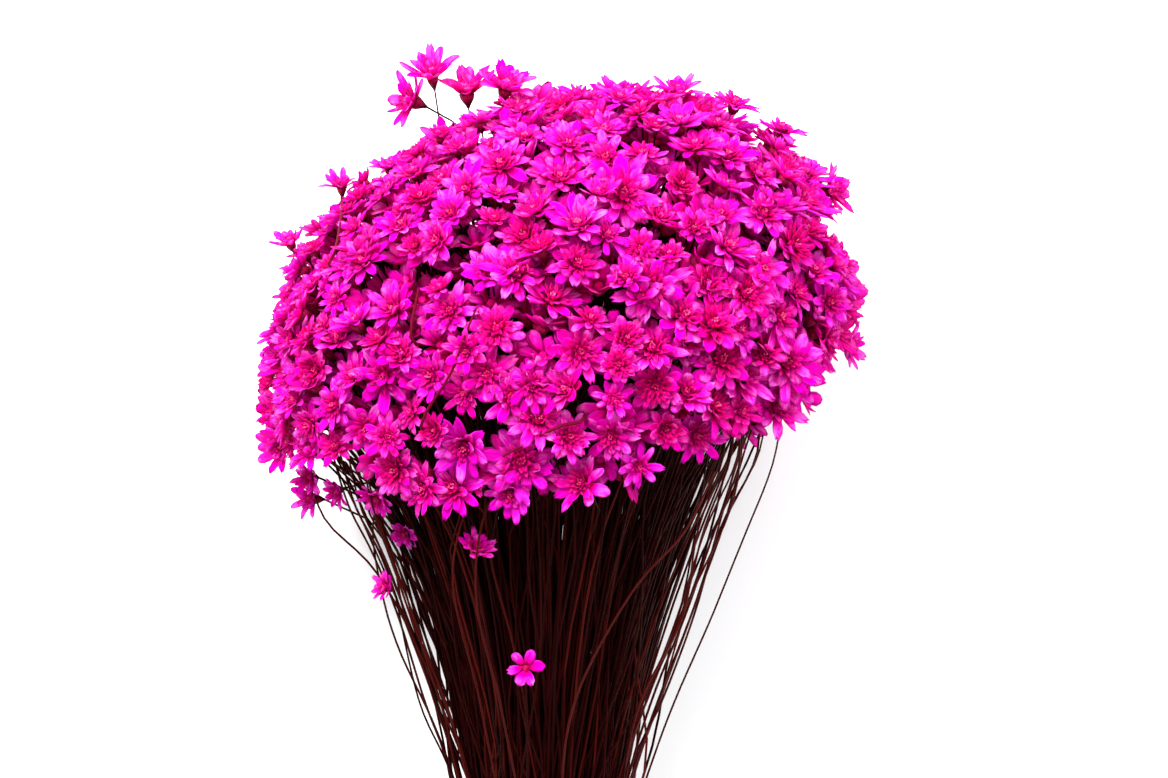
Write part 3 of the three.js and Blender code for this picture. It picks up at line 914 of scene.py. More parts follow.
def set_heights(tree, geometry, new_height):
    """Moves a geometry's points to the heights that a function makes from their own."""
    parts = add(tree, "ShaderNodeSeparateXYZ", {0: position_of(tree)}).outputs
    place = vector_of(tree, parts["X"], parts["Y"], new_height(parts["Z"]))
    return add(tree, "GeometryNodeSetPosition", {"Geometry": geometry, "Position": place}).outputs[0]


def press_down(tree, geometry, gap, height):
    """Draws what would go below a height together, so that all of it stays above the gap."""
    room = minus(height, gap)

    def pressed(z):
        low = minus(math_of("MINIMUM", z, height), height)
        high = minus(math_of("MAXIMUM", z, height), height)
        drawn = math_of("EXPONENT", math_of("DIVIDE", low, room))
        return plus(times_plus(room, drawn, gap), high)

    return set_heights(tree, geometry, pressed)


def new_group(name, kind, inputs, outputs):
    """A node group with its named inputs and outputs, and the sockets that read and fill them."""
    tree = bpy.data.node_groups.new(name, kind)
    for way, sockets in (("INPUT", inputs), ("OUTPUT", outputs)):
        for label, socket in sockets.items():
            tree.interface.new_socket(label, in_out=way, socket_type=f"NodeSocket{socket}")
    return tree, tree.nodes.new("NodeGroupInput").outputs, tree.nodes.new("NodeGroupOutput").inputs


def close_tree(tree, geometry, material, leave):
    """Ends a geometry tree: copies made real, and the finish set."""
    real = add(tree, "GeometryNodeRealizeInstances", {"Geometry": geometry}).outputs[0]
    done = add(tree, "GeometryNodeSetMaterial", {"Geometry": real, "Material": material}).outputs[0]
    tree.links.new(done, leave["Geometry"])


class Whorl(NamedTuple):
    """One ring of a head, in shares of the head's radius and in radians from its axis."""

    shapes: str
    finish: str
    petals: float
    petals_when_full: float = 0
    petals_in_rosette: float = 0
    opening: float = math.pi / 2
    opening_by_head: float = 0
    opening_spread: float = 0
    length: float = 1
    length_spread: float = 0
    length_in_rosette: float = 0
    width: float = 1
    ring_radius: float = 0
    ring_height: float = -RECEPTACLE_DEPTH
    ring_turn: float = 0
    redness: float = 0


WHORL_NUMBERS = [name for name, kind in Whorl.__annotations__.items() if kind is float]

OUTER_WHORL = Whorl(
    "petals", "petals", petals=8, petals_when_full=4,
    opening=1.22, opening_by_head=0.22, opening_spread=0.24,
    length=0.94, length_spread=0.16, length_in_rosette=-0.22, width=0.38,
    ring_radius=0.13, ring_height=-0.27)
MIDDLE_WHORL = Whorl(
    "inner_petals", "petals", petals=5, petals_when_full=4, petals_in_rosette=2,
    opening=0.98, opening_by_head=0.28, opening_spread=0.25,
    length=0.66, length_spread=0.2, length_in_rosette=-0.02, width=0.33,
    ring_radius=0.13, ring_height=-0.25, ring_turn=0.5, redness=0.25)
INNER_WHORL = Whorl(
    "bracts", "petals", petals=11, petals_when_full=3, petals_in_rosette=4,
    opening=0.9, opening_by_head=0.2, opening_spread=0.14,
    length=0.42, length_spread=0.15, length_in_rosette=0.4, width=0.19,
    ring_radius=0.14, ring_height=-0.2, ring_turn=0.25, redness=0.8)
CORE_WHORL = Whorl(
    "bracts", "petals", petals=8, petals_when_full=1, petals_in_rosette=3,
    opening=0.62, opening_by_head=0.1, opening_spread=0.12,
    length=0.3, length_spread=0.15, length_in_rosette=0.45, width=0.15,
    ring_radius=0.1, ring_height=-0.15, redness=0.95)
FLORETS = Whorl(
    "florets", "florets", petals=6, petals_when_full=3, petals_in_rosette=-3,
    opening=0.3, opening_by_head=0.05, opening_spread=0.25,
    length=0.16, length_spread=0.25, width=0.06, ring_radius=0.05, ring_height=-0.1)
SCALES = Whorl(
    "scales", "calyx", petals=6, opening=0.55, opening_by_head=0.1, opening_spread=0.1,
    length=0.4, length_spread=0.15, width=0.28, ring_radius=0.13, ring_height=-0.46, redness=1)
CALYX = Whorl("calyx", "calyx", petals=1, redness=1)
DISC = Whorl("disc", "petals", petals=1, redness=1)
YOUNG_WHORL = Whorl(
    "young_petals", "petals", petals=7, petals_when_full=2,
    opening=0.85, opening_by_head=0.3, opening_spread=0.25,
    length=0.88, length_spread=0.2, length_in_rosette=-0.1, width=0.5,
    ring_radius=0.12, ring_height=-0.26, redness=0.3)
PLAIN_WHORL = Whorl(
    "petals", "petals", petals=6, opening=1.2, opening_by_head=0.1, opening_spread=0.1,
    length=0.86, length_spread=0.06, width=0.56, ring_radius=0.1, ring_height=-0.26)

# What each petal of a whorl draws of its own, by seeds that follow the whorl's in this order
PETAL_DRAWS = ("turn", "opening", "twist", "length", "width", "tone", "shape")
FIRST_SEED = 3
SEED_STEP = 17
PETAL_TURN_SPREAD = 0.22
PETAL_WIDTH_SPREAD = 0.18
ROSETTE_REDNESS = 0.5

# The highest pick of a shape. A pick beyond the last shape goes on from the first
SHAPE_PICKS = 1000


def label_of(name):
    """The label of the tree's input for one of a whorl's numbers."""
    return name.replace("_", " ").title()


@functools.cache
def whorl_tree():
    """Rings of petals round each head's axis, one ring for each point, pressed flat where they meet the
    floor. A point holds the way its head faces and its size, turn, openness, fullness and rosette."""
    tree, given, leave = new_group("Petal Whorl", "GeometryNodeTree", {
        "Geometry": "Geometry",
        "Shapes": "Collection",
        **{label_of(name): "Float" for name in WHORL_NUMBERS},
        "Floor Gap": "Float",
        "Pressed Height": "Float",
        "Seed": "Int",
        "Finish": "Material",
    }, {"Geometry": "Geometry"})

    def random(draw, low, high, kind="FLOAT"):
        seed = plus(given["Seed"], PETAL_DRAWS.index(draw))
        values = {"Min": low, "Max": high, "Seed": seed}
        return open_socket(add(tree, "FunctionNodeRandomValue", values, data_type=kind).outputs, "Value")

    def turned(rotation, axis, angle):
        by = add(tree, "FunctionNodeAxisAngleToRotation", {"Axis": axis, "Angle": angle}).outputs[0]
        inputs = {"Rotation": rotation, "Rotate By": by}
        return add(tree, "FunctionNodeRotateRotation", inputs, rotation_space="LOCAL").outputs[0]

    size = attribute_of(tree, "size")
    rosette = attribute_of(tree, "rosette")
    more = times(attribute_of(tree, "fullness"), given["Petals When Full"])
    most = times_plus(rosette, given["Petals In Rosette"], more)
    count = math_of("ROUND", plus(given["Petals"], most))
    counted = store(tree, given["Geometry"], "count", count)
    amounts = {"Geometry": counted, "Amount": count}
    copies = add(tree, "GeometryNodeDuplicateElements", amounts, domain="POINT").outputs

    number = plus(copies["Duplicate Index"], given["Ring Turn"])
    step = math_of("DIVIDE", 2 * math.pi, attribute_of(tree, "count"))
    even = times_plus(number, step, attribute_of(tree, "turn"))
    azimuth = times_plus(random("turn", -PETAL_TURN_SPREAD, PETAL_TURN_SPREAD), step, even)
    own = times_plus(attribute_of(tree, "openness"), given["Opening By Head"], given["Opening"])
    apart = times(random("opening", -1.0, 1.0), given["Opening Spread"])
    lean = minus(plus(own, apart), math.pi / 2)
    twist = times(random("twist", -1.0, 1.0), given["Opening Spread"])
    ahead = {"Vector": attribute_of(tree, "facing", "FLOAT_VECTOR")}
    facing = add(tree, "FunctionNodeAlignRotationToVector", ahead, axis="Z").outputs[0]
    round_axis = turned(facing, (0, 0, 1), azimuth)
    rotation = turned(turned(round_axis, (0, 1, 0), lean), (1, 0, 0), twist)

    aside = times(size, given["Ring Radius"])
    place = vector_of(tree, aside, z=times(size, given["Ring Height"]))
    offset = add(tree, "FunctionNodeRotateVector", {"Vector": place, "Rotation": round_axis}).outputs[0]
    points = add(tree, "GeometryNodeSetPosition", {"Geometry": copies["Geometry"], "Offset": offset})
    toned = store(tree, points.outputs["Geometry"], "tone", random("tone", 0.0, 1.0))
    red = times_plus(rosette, ROSETTE_REDNESS, given["Redness"])
    reddened = store(tree, toned, "redness", red)

    grown = times_plus(rosette, given["Length In Rosette"], 1)
    varied = times_plus(random("length", -1.0, 1.0), given["Length Spread"], grown)
    length = times(times(size, varied), given["Length"])
    wide = random("width", 1 - PETAL_WIDTH_SPREAD, 1 + PETAL_WIDTH_SPREAD)
    width = times(times(size, given["Width"]), wide)
    shapes = add(tree, "GeometryNodeCollectionInfo", {
        "Collection": given["Shapes"], "Separate Children": True, "Reset Children": True,
    })
    placed = add(tree, "GeometryNodeInstanceOnPoints", {
        "Points": reddened,
        "Instance": shapes.outputs[0],
        "Pick Instance": True,
        "Instance Index": random("shape", 0, SHAPE_PICKS, "INT"),
        "Rotation": rotation,
        "Scale": vector_of(tree, length, width, length),
    })
    real = add(tree, "GeometryNodeRealizeInstances", {"Geometry": placed.outputs[0]}).outputs[0]
    pressed = press_down(tree, real, given["Floor Gap"], given["Pressed Height"])
    close_tree(tree, pressed, given["Finish"], leave)
    return tree


@functools.cache
def tube_tree():
    """A smooth tube along each route of edges, wavering a little, resting on the floor where it is low."""
    tree, given, leave = new_group("Tube Along Route", "GeometryNodeTree", {
        "Geometry": "Geometry",
        "Sides": "Int",
        "Waver": "Float",
        "Waver Scale": "Float",
        "Tip Share": "Float",
        "Finish": "Material",
    }, {"Geometry": "Geometry"})
    bare = add(tree, "GeometryNodeMeshToCurve", {"Mesh": given["Geometry"]}).outputs[0]
    smooth = add(tree, "GeometryNodeCurveSplineType", {"Curve": bare}, spline_type="CATMULL_ROM").outputs[0]
    steps = {"Curve": smooth, "Length": attribute_of(tree, "step")}
    even = add(tree, "GeometryNodeResampleCurve", steps, mode="LENGTH").outputs[0]

    def vectors(operation, inputs):
        return add(tree, "ShaderNodeVectorMath", inputs, operation=operation).outputs[0]

    share = add(tree, "GeometryNodeSplineParameter").outputs["Factor"]
    tone = attribute_of(tree, "tone")
    place = vectors("ADD", {0: position_of(tree), 1: vector_of(tree, tone, z=tone)})
    cloud = add(tree, "ShaderNodeTexNoise", {"Vector": place, "Scale": given["Waver Scale"], "Detail": 1.0})
    centred = vectors("SUBTRACT", {0: cloud.outputs["Color"], 1: (0.5, 0.5, 0.5)})
    held = math_of("SINE", times(share, math.pi))
    sway = vectors("SCALE", {0: centred, "Scale": times(held, given["Waver"])})
    moved = add(tree, "GeometryNodeSetPosition", {"Geometry": even, "Offset": sway}).outputs[0]
    thick = attribute_of(tree, "thickness")
    resting = set_heights(tree, moved, lambda z: math_of("MAXIMUM", z, thick))

    marked = store(tree, resting, "along", share)
    taper = minus(1, times(share, minus(1, given["Tip Share"])))
    radius = times(thick, taper)
    sized = add(tree, "GeometryNodeSetCurveRadius", {"Curve": marked, "Radius": radius}).outputs[0]
    ring = add(tree, "GeometryNodeCurvePrimitiveCircle", {"Resolution": given["Sides"], "Radius": 1.0})
    turned = math_of("DIVIDE", add(tree, "GeometryNodeInputIndex").outputs[0], given["Sides"])
    mirrored = math_of("ABSOLUTE", times_plus(turned, 2, -1))
    tube = add(tree, "GeometryNodeCurveToMesh", {
        "Curve": sized,
        "Profile Curve": store(tree, ring.outputs["Curve"], "across", mirrored),
        "Scale": add(tree, "GeometryNodeInputRadius").outputs[0],
        "Fill Caps": True,
    })
    close_tree(tree, tube.outputs[0], given["Finish"], leave)
    return tree


def grown_mesh(name, seed_mesh, tree, values):
    """The mesh that a tree grows from a seed mesh, with the tree's inputs given by name."""
    seed = linked(name, seed_mesh)
    modifier = seed.modifiers.new(tree.name, "NODES")
    modifier.node_group = tree
    for item in tree.interface.items_tree:
        if item.in_out == "INPUT" and item.name in values:
            modifier[item.identifier] = values[item.name]
    graph = bpy.context.evaluated_depsgraph_get()
    mesh = bpy.data.meshes.new_from_object(seed.evaluated_get(graph), depsgraph=graph)
    mesh.name = name
    seed.modifiers.remove(modifier)
    bpy.data.objects.remove(seed)
    bpy.data.meshes.remove(seed_mesh)
    return mesh


def joined(name, meshes):
    """One plain object from several meshes."""
    parts = [linked(f"{name}_part_{index}", mesh) for index, mesh in enumerate(meshes)]
    with bpy.context.temp_override(active_object=parts[0], selected_editable_objects=parts):
        bpy.ops.object.join()
    parts[0].name = name
    parts[0].data.name = name
    return parts[0]


def place_piece(piece, slot, *nodes):
    """Parents a finished piece to the bunch's body, so that it rides on the bunch, and hides the nodes that
    it stands for.
    """
    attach(piece, BODY)
    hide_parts(*nodes)


def heads_mesh(name, heads):
    """A seed mesh of one point for each head, with what the whorls read."""
    mesh = bpy.data.meshes.new(name)
    mesh.from_pydata([in_world(head.point) for head in heads], [], [])
    numbers = {
        "size": [head.radius * MILLIMETRE for head in heads],
        "turn": [head.turn for head in heads],
        "openness": [head.openness for head in heads],
        "fullness": [head.fullness for head in heads],
        "rosette": [head.rosette for head in heads],
        "shade": [noise(head.thing, Draw.SHADE) for head in heads],
    }
    add_numbers(mesh, numbers)
    facing = [number for head in heads for number in world_direction(head.axis)]
    mesh.attributes.new("facing", "FLOAT_VECTOR", "POINT").data.foreach_set("vector", facing)
    return mesh


# What each kind of head is made of
HEAD_PARTS = {
    "grown": [OUTER_WHORL, MIDDLE_WHORL, INNER_WHORL, CORE_WHORL, FLORETS, SCALES, CALYX, DISC],
    "low": [YOUNG_WHORL, CORE_WHORL, CALYX],
    "young": [YOUNG_WHORL, DISC, CALYX],
    "plain": [PLAIN_WHORL, FLORETS, CALYX],
}


def grow_heads(name, heads, finishes):
    """All of some heads' whorls in one object."""
    meshes = []
    for kind, whorls in HEAD_PARTS.items():
        group = [head for head in heads if head.kind == kind]
        if not group:
            continue
        for index, whorl in enumerate(whorls):
            values = {label_of(number): float(getattr(whorl, number)) for number in WHORL_NUMBERS}
            meshes.append(grown_mesh(f"{name}_{index}", heads_mesh(name, group), whorl_tree(), {
                **values,
                "Shapes": shape_collections()[whorl.shapes],
                "Floor Gap": FLOOR_GAP * MILLIMETRE,
                "Pressed Height": PRESSED_HEIGHT * MILLIMETRE,
                "Seed": SEED_STEP * index + FIRST_SEED,
                "Finish": finishes[whorl.finish],
            }))
    return joined(name, meshes)


class Route(NamedTuple):
    """A strand's way, its thickness in millimetres, its tone and the length of its steps in metres."""

    points: list
    thickness: float
    tone: float
    step: float


def routes_mesh(name, routes):
    """A seed mesh of one chain of edges for each route, in world metres."""
    points, edges = [], []
    numbers = {"thickness": [], "tone": [], "step": []}
    for route in routes:
        first, number = len(points), len(route.points)
        points += [in_world(point) for point in route.points]
        edges += [(first + index, first + index + 1) for index in range(number - 1)]
        numbers["thickness"] += [route.thickness * MILLIMETRE] * number
        numbers["tone"] += [route.tone] * number
        numbers["step"] += [route.step] * number
    mesh = bpy.data.meshes.new(name)
    mesh.from_pydata(points, edges, [])
    add_numbers(mesh, numbers)
    return mesh


def grow_tubes(name, routes, values):
    """All of some strands in one object."""
    mesh = grown_mesh(name, routes_mesh(name, routes), tube_tree(), values)
    mesh.shade_smooth()
    return joined(name, [mesh])


def shader_attributes(tree, *names):
    return [add(tree, "ShaderNodeAttribute", attribute_name=name).outputs["Fac"] for name in names]


def ramp(value, low, high, to_low=0.0, to_high=1.0):
    """A value moved smoothly from one range into another."""
    node = add(value.id_data, "ShaderNodeMapRange", {
        "Value": value, "From Min": low, "From Max": high, "To Min": to_low, "To Max": to_high,
    }, interpolation_type="SMOOTHSTEP")
    return node.outputs["Result"]


def layered(colour, *layers):
    """A colour with others laid over it in turn, each by its share. The mix node's sockets are given by
    place, as those for numbers, vectors and colours have the same names."""
    for share, over in layers:
        inputs = {0: share, 6: colour, 7: over}
        colour = add(share.id_data, "ShaderNodeMix", inputs, data_type="RGBA").outputs[2]
    return colour


# How far apart the grains of two tones lie, and the blotches' size and edges
TONE_APART = 37.0
BLOTCH_STRETCH = 2.2
BLOTCH_SCALE = 1.3
BLOTCH_STARTS = 0.35
BLOTCH_ENDS = 0.65


@functools.cache
def grain_group():
    """Fine lines along a surface and broad blotches, from its along and across coordinates and each
    copy's own tone."""
    inputs = {"Lines": "Float", "Stretch": "Float", "Sharpness": "Float"}
    outputs = {"Grain": "Float", "Blotches": "Float"}
    tree, given, leave = new_group("Lengthwise Grain", "ShaderNodeTree", inputs, outputs)
    along, across, tone = shader_attributes(tree, "along", "across", "tone")
    own = times(tone, TONE_APART)

    def cloud(vector, scale, detail):
        values = {"Vector": vector, "Scale": scale, "Detail": detail}
        return add(tree, "ShaderNodeTexNoise", values).outputs["Fac"]

    lines = vector_of(tree, times(along, given["Stretch"]), times(across, given["Lines"]), own)
    low = minus(0.5, given["Sharpness"])
    high = plus(0.5, given["Sharpness"])
    tree.links.new(ramp(cloud(lines, 1.0, 2.0), low, high), leave["Grain"])
    broad = vector_of(tree, times(along, BLOTCH_STRETCH), across, own)
    blotches = ramp(cloud(broad, BLOTCH_SCALE, 3.0), BLOTCH_STARTS, BLOTCH_ENDS)
    tree.links.new(blotches, leave["Blotches"])
    return tree


def new_material(name):
    """A material, its tree and its shader."""
    material = bpy.data.materials.new(name)
    material.use_nodes = True
    tree = material.node_tree
    return material, tree, tree.nodes["Principled BSDF"]


def grain_of(tree, lines, stretch, sharpness):
    """A surface's grain and its blotches."""
    inputs = {"Lines": lines, "Stretch": stretch, "Sharpness": sharpness}
    grain = add(tree, "ShaderNodeGroup", inputs, node_tree=grain_group()).outputs
    return grain["Grain"], grain["Blotches"]


def bumped(height, strength, distance):
    values = {"Height": height, "Strength": strength, "Distance": distance}
    return add(height.id_data, "ShaderNodeBump", values).outputs["Normal"]


@functools.cache
def petal_material():
    """Dyed papery petals: red at the base, magenta along the blade, paler violet towards the tip in patches
    that are partly painted highlights, with a painted highlight along their sides.
    """
    colours = bpy.context.scene.glixia_flowers
    material, tree, shader = new_material("dyed_petal")
    along, across, tone, shade, redness = shader_attributes(
        tree, "along", "across", "tone", "shade", "redness")
    grain, blotches = grain_of(tree, lines=4.0, stretch=1.2, sharpness=0.16)
    # Partly painted highlight: the pale patches towards the tips, drawn by tone and blotches, are the
    # petals' own paler tips and also stand in for glints of light on them.
    light = times(ramp(along, 0.4, 0.95), ramp(tone, 0.2, 0.8))
    pale = times(light, ramp(blotches, 0.1, 1.0, 0.1, 1.0))
    violet = ramp(shade, 0.0, 0.4, 0.35, 0.0)
    red = math_of("MAXIMUM", times(redness, 0.85), ramp(shade, 0.6, 1.0, 0.0, 0.5))
    # Painted highlight: the petals' sides are lightened towards the edge colour as a glint along their
    # edges.
    side = ramp(math_of("ABSOLUTE", across), 0.7, 1.0, 0.0, 0.6)
    colour = layered(
        colours.base_colour,
        (ramp(along, 0.15, 0.6), colours.blade_colour),
        (pale, colours.tip_and_highlight_colour),
        (violet, colours.violet_colour),
        (red, colours.bract_colour),
        (times(side, ramp(along, 0.2, 0.6)), colours.edge_highlight_colour),
        (times(grain, 0.5), colours.vein_colour),
        (times(blotches, 0.2), colours.blade_colour),
    )
    fill(tree, shader, {
        "Base Color": colour,
        "Roughness": ramp(blotches, 0.0, 1.0, 0.42, 0.6),
        "Sheen Weight": 0.05,
        "Sheen Roughness": 0.5,
        "Sheen Tint": (1.0, 0.02, 0.8, 1.0),
        "Specular IOR Level": 0.1,
        "Specular Tint": (1.0, 0.02, 0.75, 1.0),
        "Normal": bumped(grain, strength=0.35, distance=0.0002),
    })
    through = add(tree, "ShaderNodeBsdfTranslucent", {"Color": colour})
    both = add(tree, "ShaderNodeMixShader", {0: 0.5, 1: shader.outputs[0], 2: through.outputs[0]})
    tree.links.new(both.outputs[0], tree.nodes["Material Output"].inputs["Surface"])
    return material


@functools.cache
def floret_material():
    """The small florets in a head's middle, pale at their tips."""
    colours = bpy.context.scene.glixia_flowers
    material, tree, shader = new_material("floret")
    along, = shader_attributes(tree, "along")
    grain, blotches = grain_of(tree, lines=3.0, stretch=1.6, sharpness=0.22)
    fill(tree, shader, {
        "Base Color": layered(
            colours.bract_colour,
            (ramp(along, 0.3, 1.0), colours.floret_colour),
            (times(blotches, 0.4), colours.bract_colour),
        ),
        "Roughness": 0.6,
        "Specular IOR Level": 0.2,
        "Normal": bumped(grain, strength=0.3, distance=0.0001),
    })
    return material


@functools.cache
def calyx_material():
    """A dark maroon cup, ribbed, redder where it meets the petals."""
    colours = bpy.context.scene.glixia_flowers
    material, tree, shader = new_material("calyx")
    along, = shader_attributes(tree, "along")
    grain, _ = grain_of(tree, lines=9.0, stretch=2.0, sharpness=0.2)
    fill(tree, shader, {
        "Base Color": layered(
            colours.calyx_colour,
            (ramp(along, 0.35, 0.95), colours.calyx_rim_colour),
            (times(grain, 0.5), colours.calyx_colour),
        ),
        "Roughness": 0.6,
        "Specular IOR Level": 0.15,
        "Specular Tint": (1.0, 0.4, 0.5, 1.0),
        "Normal": bumped(grain, strength=0.5, distance=0.0003),
    })
    return material


@functools.cache
def stem_material():
    """Dry dark brown stalks, most of them darkened nearly to black as painted shade from the crown, finely
    ribbed, some redder than others, pale where they were cut.
    """
    colours = bpy.context.scene.glixia_stems
    material, tree, shader = new_material("dry_stem")
    along, tone = shader_attributes(tree, "along", "tone")
    grain, blotches = grain_of(tree, lines=6.0, stretch=26.0, sharpness=0.25)
    fill(tree, shader, {
        "Base Color": layered(
            # Painted shade: the dark colour is darker than the stems' own dark brown, standing in for the
            # crown's shadow on them.
            colours.dark_colour,
            (ramp(tone, 0.6, 1.0), colours.brown_colour),
            (ramp(tone, 1.0, 1.1), colours.twig_colour),
            (times(blotches, 0.12), colours.brown_colour),
            (times(grain, 0.15), colours.rib_colour),
            (ramp(along, 0.0, 0.004, 1.0, 0.0), colours.cut_colour),
        ),
        "Roughness": ramp(grain, 0.0, 1.0, 0.5, 0.7),
        "Specular IOR Level": 0.08,
        "Specular Tint": (1.0, 0.25, 0.2, 1.0),
        "Normal": bumped(grain, strength=0.4, distance=0.0002),
    })
    return material


@functools.cache
def twine_material():
    """Natural twine: pale fibres twisted together, darker between them."""
    colours = bpy.context.scene.glixia_tie
    material, tree, shader = new_material("twine")
    grain, blotches = grain_of(tree, lines=7.0, stretch=160.0, sharpness=0.25)
    fill(tree, shader, {
        "Base Color": layered(
            colours.dark_colour,
            (grain, colours.pale_colour),
            (times(blotches, 0.4), colours.dark_colour),
        ),
        "Roughness": 0.9,
        "Specular IOR Level": 0.2,
        "Sheen Weight": 0.2,
        "Normal": bumped(grain, strength=0.6, distance=0.0003),
    })
    return material


def floor_material():
    colours = bpy.context.scene.glixia_stage
    material, tree, shader = new_material("pale_floor")
    fill(tree, shader, {"Base Color": colours.floor_colour, "Roughness": 0.8})
    return material


def length_property(description, default):
    return bpy.props.FloatProperty(
        name=description, description=description, default=default, min=0,
        subtype="DISTANCE", unit="LENGTH", precision=5)


def colour_property(description, default):
    return bpy.props.FloatVectorProperty(
        name=description, description=description, default=(*default, 1.0), size=4, min=0, max=1,
        subtype="COLOR")


class FlowerSettings(bpy.types.PropertyGroup):
    """Colours of the flower heads."""

    base_colour: colour_property("Petals' colour at their base", (0.85, 0.0004, 0.2))
    blade_colour: colour_property("Petals' colour along the blade", (0.98, 0.0004, 0.7))
    # The tip colour is partly the petals' own pale tips and partly a painted highlight.
    tip_and_highlight_colour: colour_property("Petals' colour towards the tip", (1.0, 0.34, 0.97))
    # The edge colour is a painted highlight along the petals' sides.
    edge_highlight_colour: colour_property("Petals' colour at their sides", (1.0, 0.06, 0.85))
    violet_colour: colour_property("Colour of the more violet heads", (0.8, 0.012, 0.95))
    vein_colour: colour_property("Petals' veins", (0.5, 0.0004, 0.2))
    bract_colour: colour_property("Inner bracts' colour", (1.0, 0.003, 0.21))
    floret_colour: colour_property("Florets' colour at their tips", (1.0, 0.1, 0.34))
    calyx_colour: colour_property("Calyx's colour", (0.05, 0.001, 0.006))
    calyx_rim_colour: colour_property("Calyx's colour at its rim", (0.35, 0.002, 0.06))


class StemSettings(bpy.types.PropertyGroup):
    """Sizes and colours of the stems."""

    radius: length_property("Stem radius at the cut end", 0.00034)
    step: length_property("Length of one step along a stem", 0.0105)
    stray_step: length_property("Length of one step along a stem that strays", 0.0068)
    fine_step: length_property("Length of one step along a stem that stands off", 0.003)
    waver: length_property("How far a stem wavers", 0.0015)
    sides: bpy.props.IntProperty(
        name="Sides of a stem", description="Sides of a stem", default=5, min=3, max=12)
    # Partly painted shade: this is the stems' own dark brown, darkened further to stand in for the crown's
    # shadow on them.
    dark_colour: colour_property("Dark stems' colour", (0.005, 0.0002, 0.0004))
    brown_colour: colour_property("Brown stems' colour", (0.054, 0.004, 0.003))
    twig_colour: colour_property("Twigs' colour", (0.11, 0.0015, 0.015))
    rib_colour: colour_property("Colour of the ribs along a stem", (0.052, 0.005, 0.004))
    cut_colour: colour_property("Colour of the cut ends", (0.4, 0.25, 0.13))


class TieSettings(bpy.types.PropertyGroup):
    """Sizes and colours of the twine."""

    strand_radius: length_property("Radius of one strand of the twine", 0.00052)
    step: length_property("Length of one step along a strand", 0.0009)
    dark_colour: colour_property("Twine's colour between its fibres", (0.2, 0.11, 0.045))
    pale_colour: colour_property("Twine's fibres", (0.62, 0.44, 0.22))


class StageSettings(bpy.types.PropertyGroup):
    """The floor, the light and the camera."""

    floor_colour: colour_property("Floor's colour", (0.93, 0.93, 0.94))
    key_power: bpy.props.FloatProperty(
        name="Main light", description="Power of the main light", default=47, min=0, subtype="POWER")
    fill_power: bpy.props.FloatProperty(
        name="Fill light", description="Power of the fill light", default=15, min=0, subtype="POWER")
    sky: bpy.props.FloatProperty(
        name="Sky", description="Strength of the light from all around", default=0.98, min=0)


def twine_routes():
    """The strands of a twine wound closely round the stems, twisted about the winding's own line."""
    turns = (TIE_LENGTH - TWINE_DIAMETER) / TWINE_DIAMETER
    start = TIE_HEIGHT - TIE_BELOW_WAIST - (TIE_LENGTH - TWINE_DIAMETER) / 2
    ring = TIE_INNER_RADIUS + TIE_THICKNESS / 2
    routes = []
    for strand in range(STRANDS):
        route = []
        for index in range(round(turns * POINTS_A_TURN) + 1):
            share = index / POINTS_A_TURN
            angle = 2 * math.pi * share
            twist = 2 * math.pi * (angle * ring / TWINE_TWIST_LENGTH + strand / STRANDS)
            radius = ring + STRAND_SPREAD * math.cos(twist)
            route.append(Vector((
                radius * math.cos(angle),
                start + share * TWINE_DIAMETER + STRAND_SPREAD * math.sin(twist),
                radius * math.sin(angle),
            )))
        routes.append(route)
    return routes


def stem_values():
    """What a tube's tree is given for a stem."""
    sizes = bpy.context.scene.glixia_stems
    return {
        "Sides": sizes.sides,
        "Waver": sizes.waver,
        "Waver Scale": STEM_WAVER_SCALE,
        "Tip Share": STEM_TIP_SHARE,
        "Finish": stem_material(),
    }


def flower_finishes():
    return {"petals": petal_material(), "florets": floret_material(), "calyx": calyx_material()}


def stem_of(thing, points, step, tone=None):
    """A stem along some points, in steps of a length."""
    sizes = bpy.context.scene.glixia_stems
    share = between(1 - THICKNESS_SPREAD, 1 + THICKNESS_SPREAD, noise(thing, Draw.THICKNESS))
    own_tone = noise(thing, Draw.TONE) if tone is None else tone
    return Route(points, sizes.radius / MILLIMETRE * share, own_tone, step)


def band_stems():
    """The stems of each band, spread unevenly from its first one to its last one."""
    stems = []
    for number, turns, first, last in STEM_BANDS:
        for index in range(number):
            share = index / (number - 1)
            passing = []
            for place, (one, other) in enumerate(zip(first, last)):
                aside = Vector((spread(index, number + place), 0, spread(index, 2 * number + place)))
                passing.append(Vector(one).lerp(Vector(other), share) + aside * BAND_SPREAD)
            stems.append((between(*turns, share), passing))
    return stems


def bare_stems():
    """The stems that lost their head, and the twigs over the crown."""
    stems = []
    step = bpy.context.scene.glixia_stems.fine_step
    for index, (tie_turn, passing) in enumerate(BARE_STEMS + band_stems()):
        lower = outer_tie_places(tie_turn, index, TIED_RADIUS)
        stems.append(stem_of(index, lower + [Vector(point) for point in passing], step, BARE_TONE))
    for index, seen_points in enumerate(LOOSE_TWIGS):
        points = [seen_at(*seen) for seen in reversed(seen_points)]
        inside = points[0] - crown_normal(points[0]) * YOUNG_DEPTH
        over = [point + crown_normal(point) * TWIG_RISE for point in points]
        twig = stem_of(index, [inside, *over], step, TWIG_TONE)
        stems.append(twig._replace(thickness=twig.thickness * TWIG_THICKER))
    return stems


class GLIXIA_OT_crown_flowers(bpy.types.Operator):
    """Build the crown's flower heads, one piece for each cluster"""

    bl_idname = "glixia.crown_flowers"
    bl_label = "Crown Flowers"

    def execute(self, context):
        for number, heads in enumerate(all_heads(), 1):
            piece = grow_heads(f"crown_flowers_{number:02d}", heads, flower_finishes())
            place_piece(piece, "flower_heads", f"flower_heads_{number:02d}")
        return {"FINISHED"}


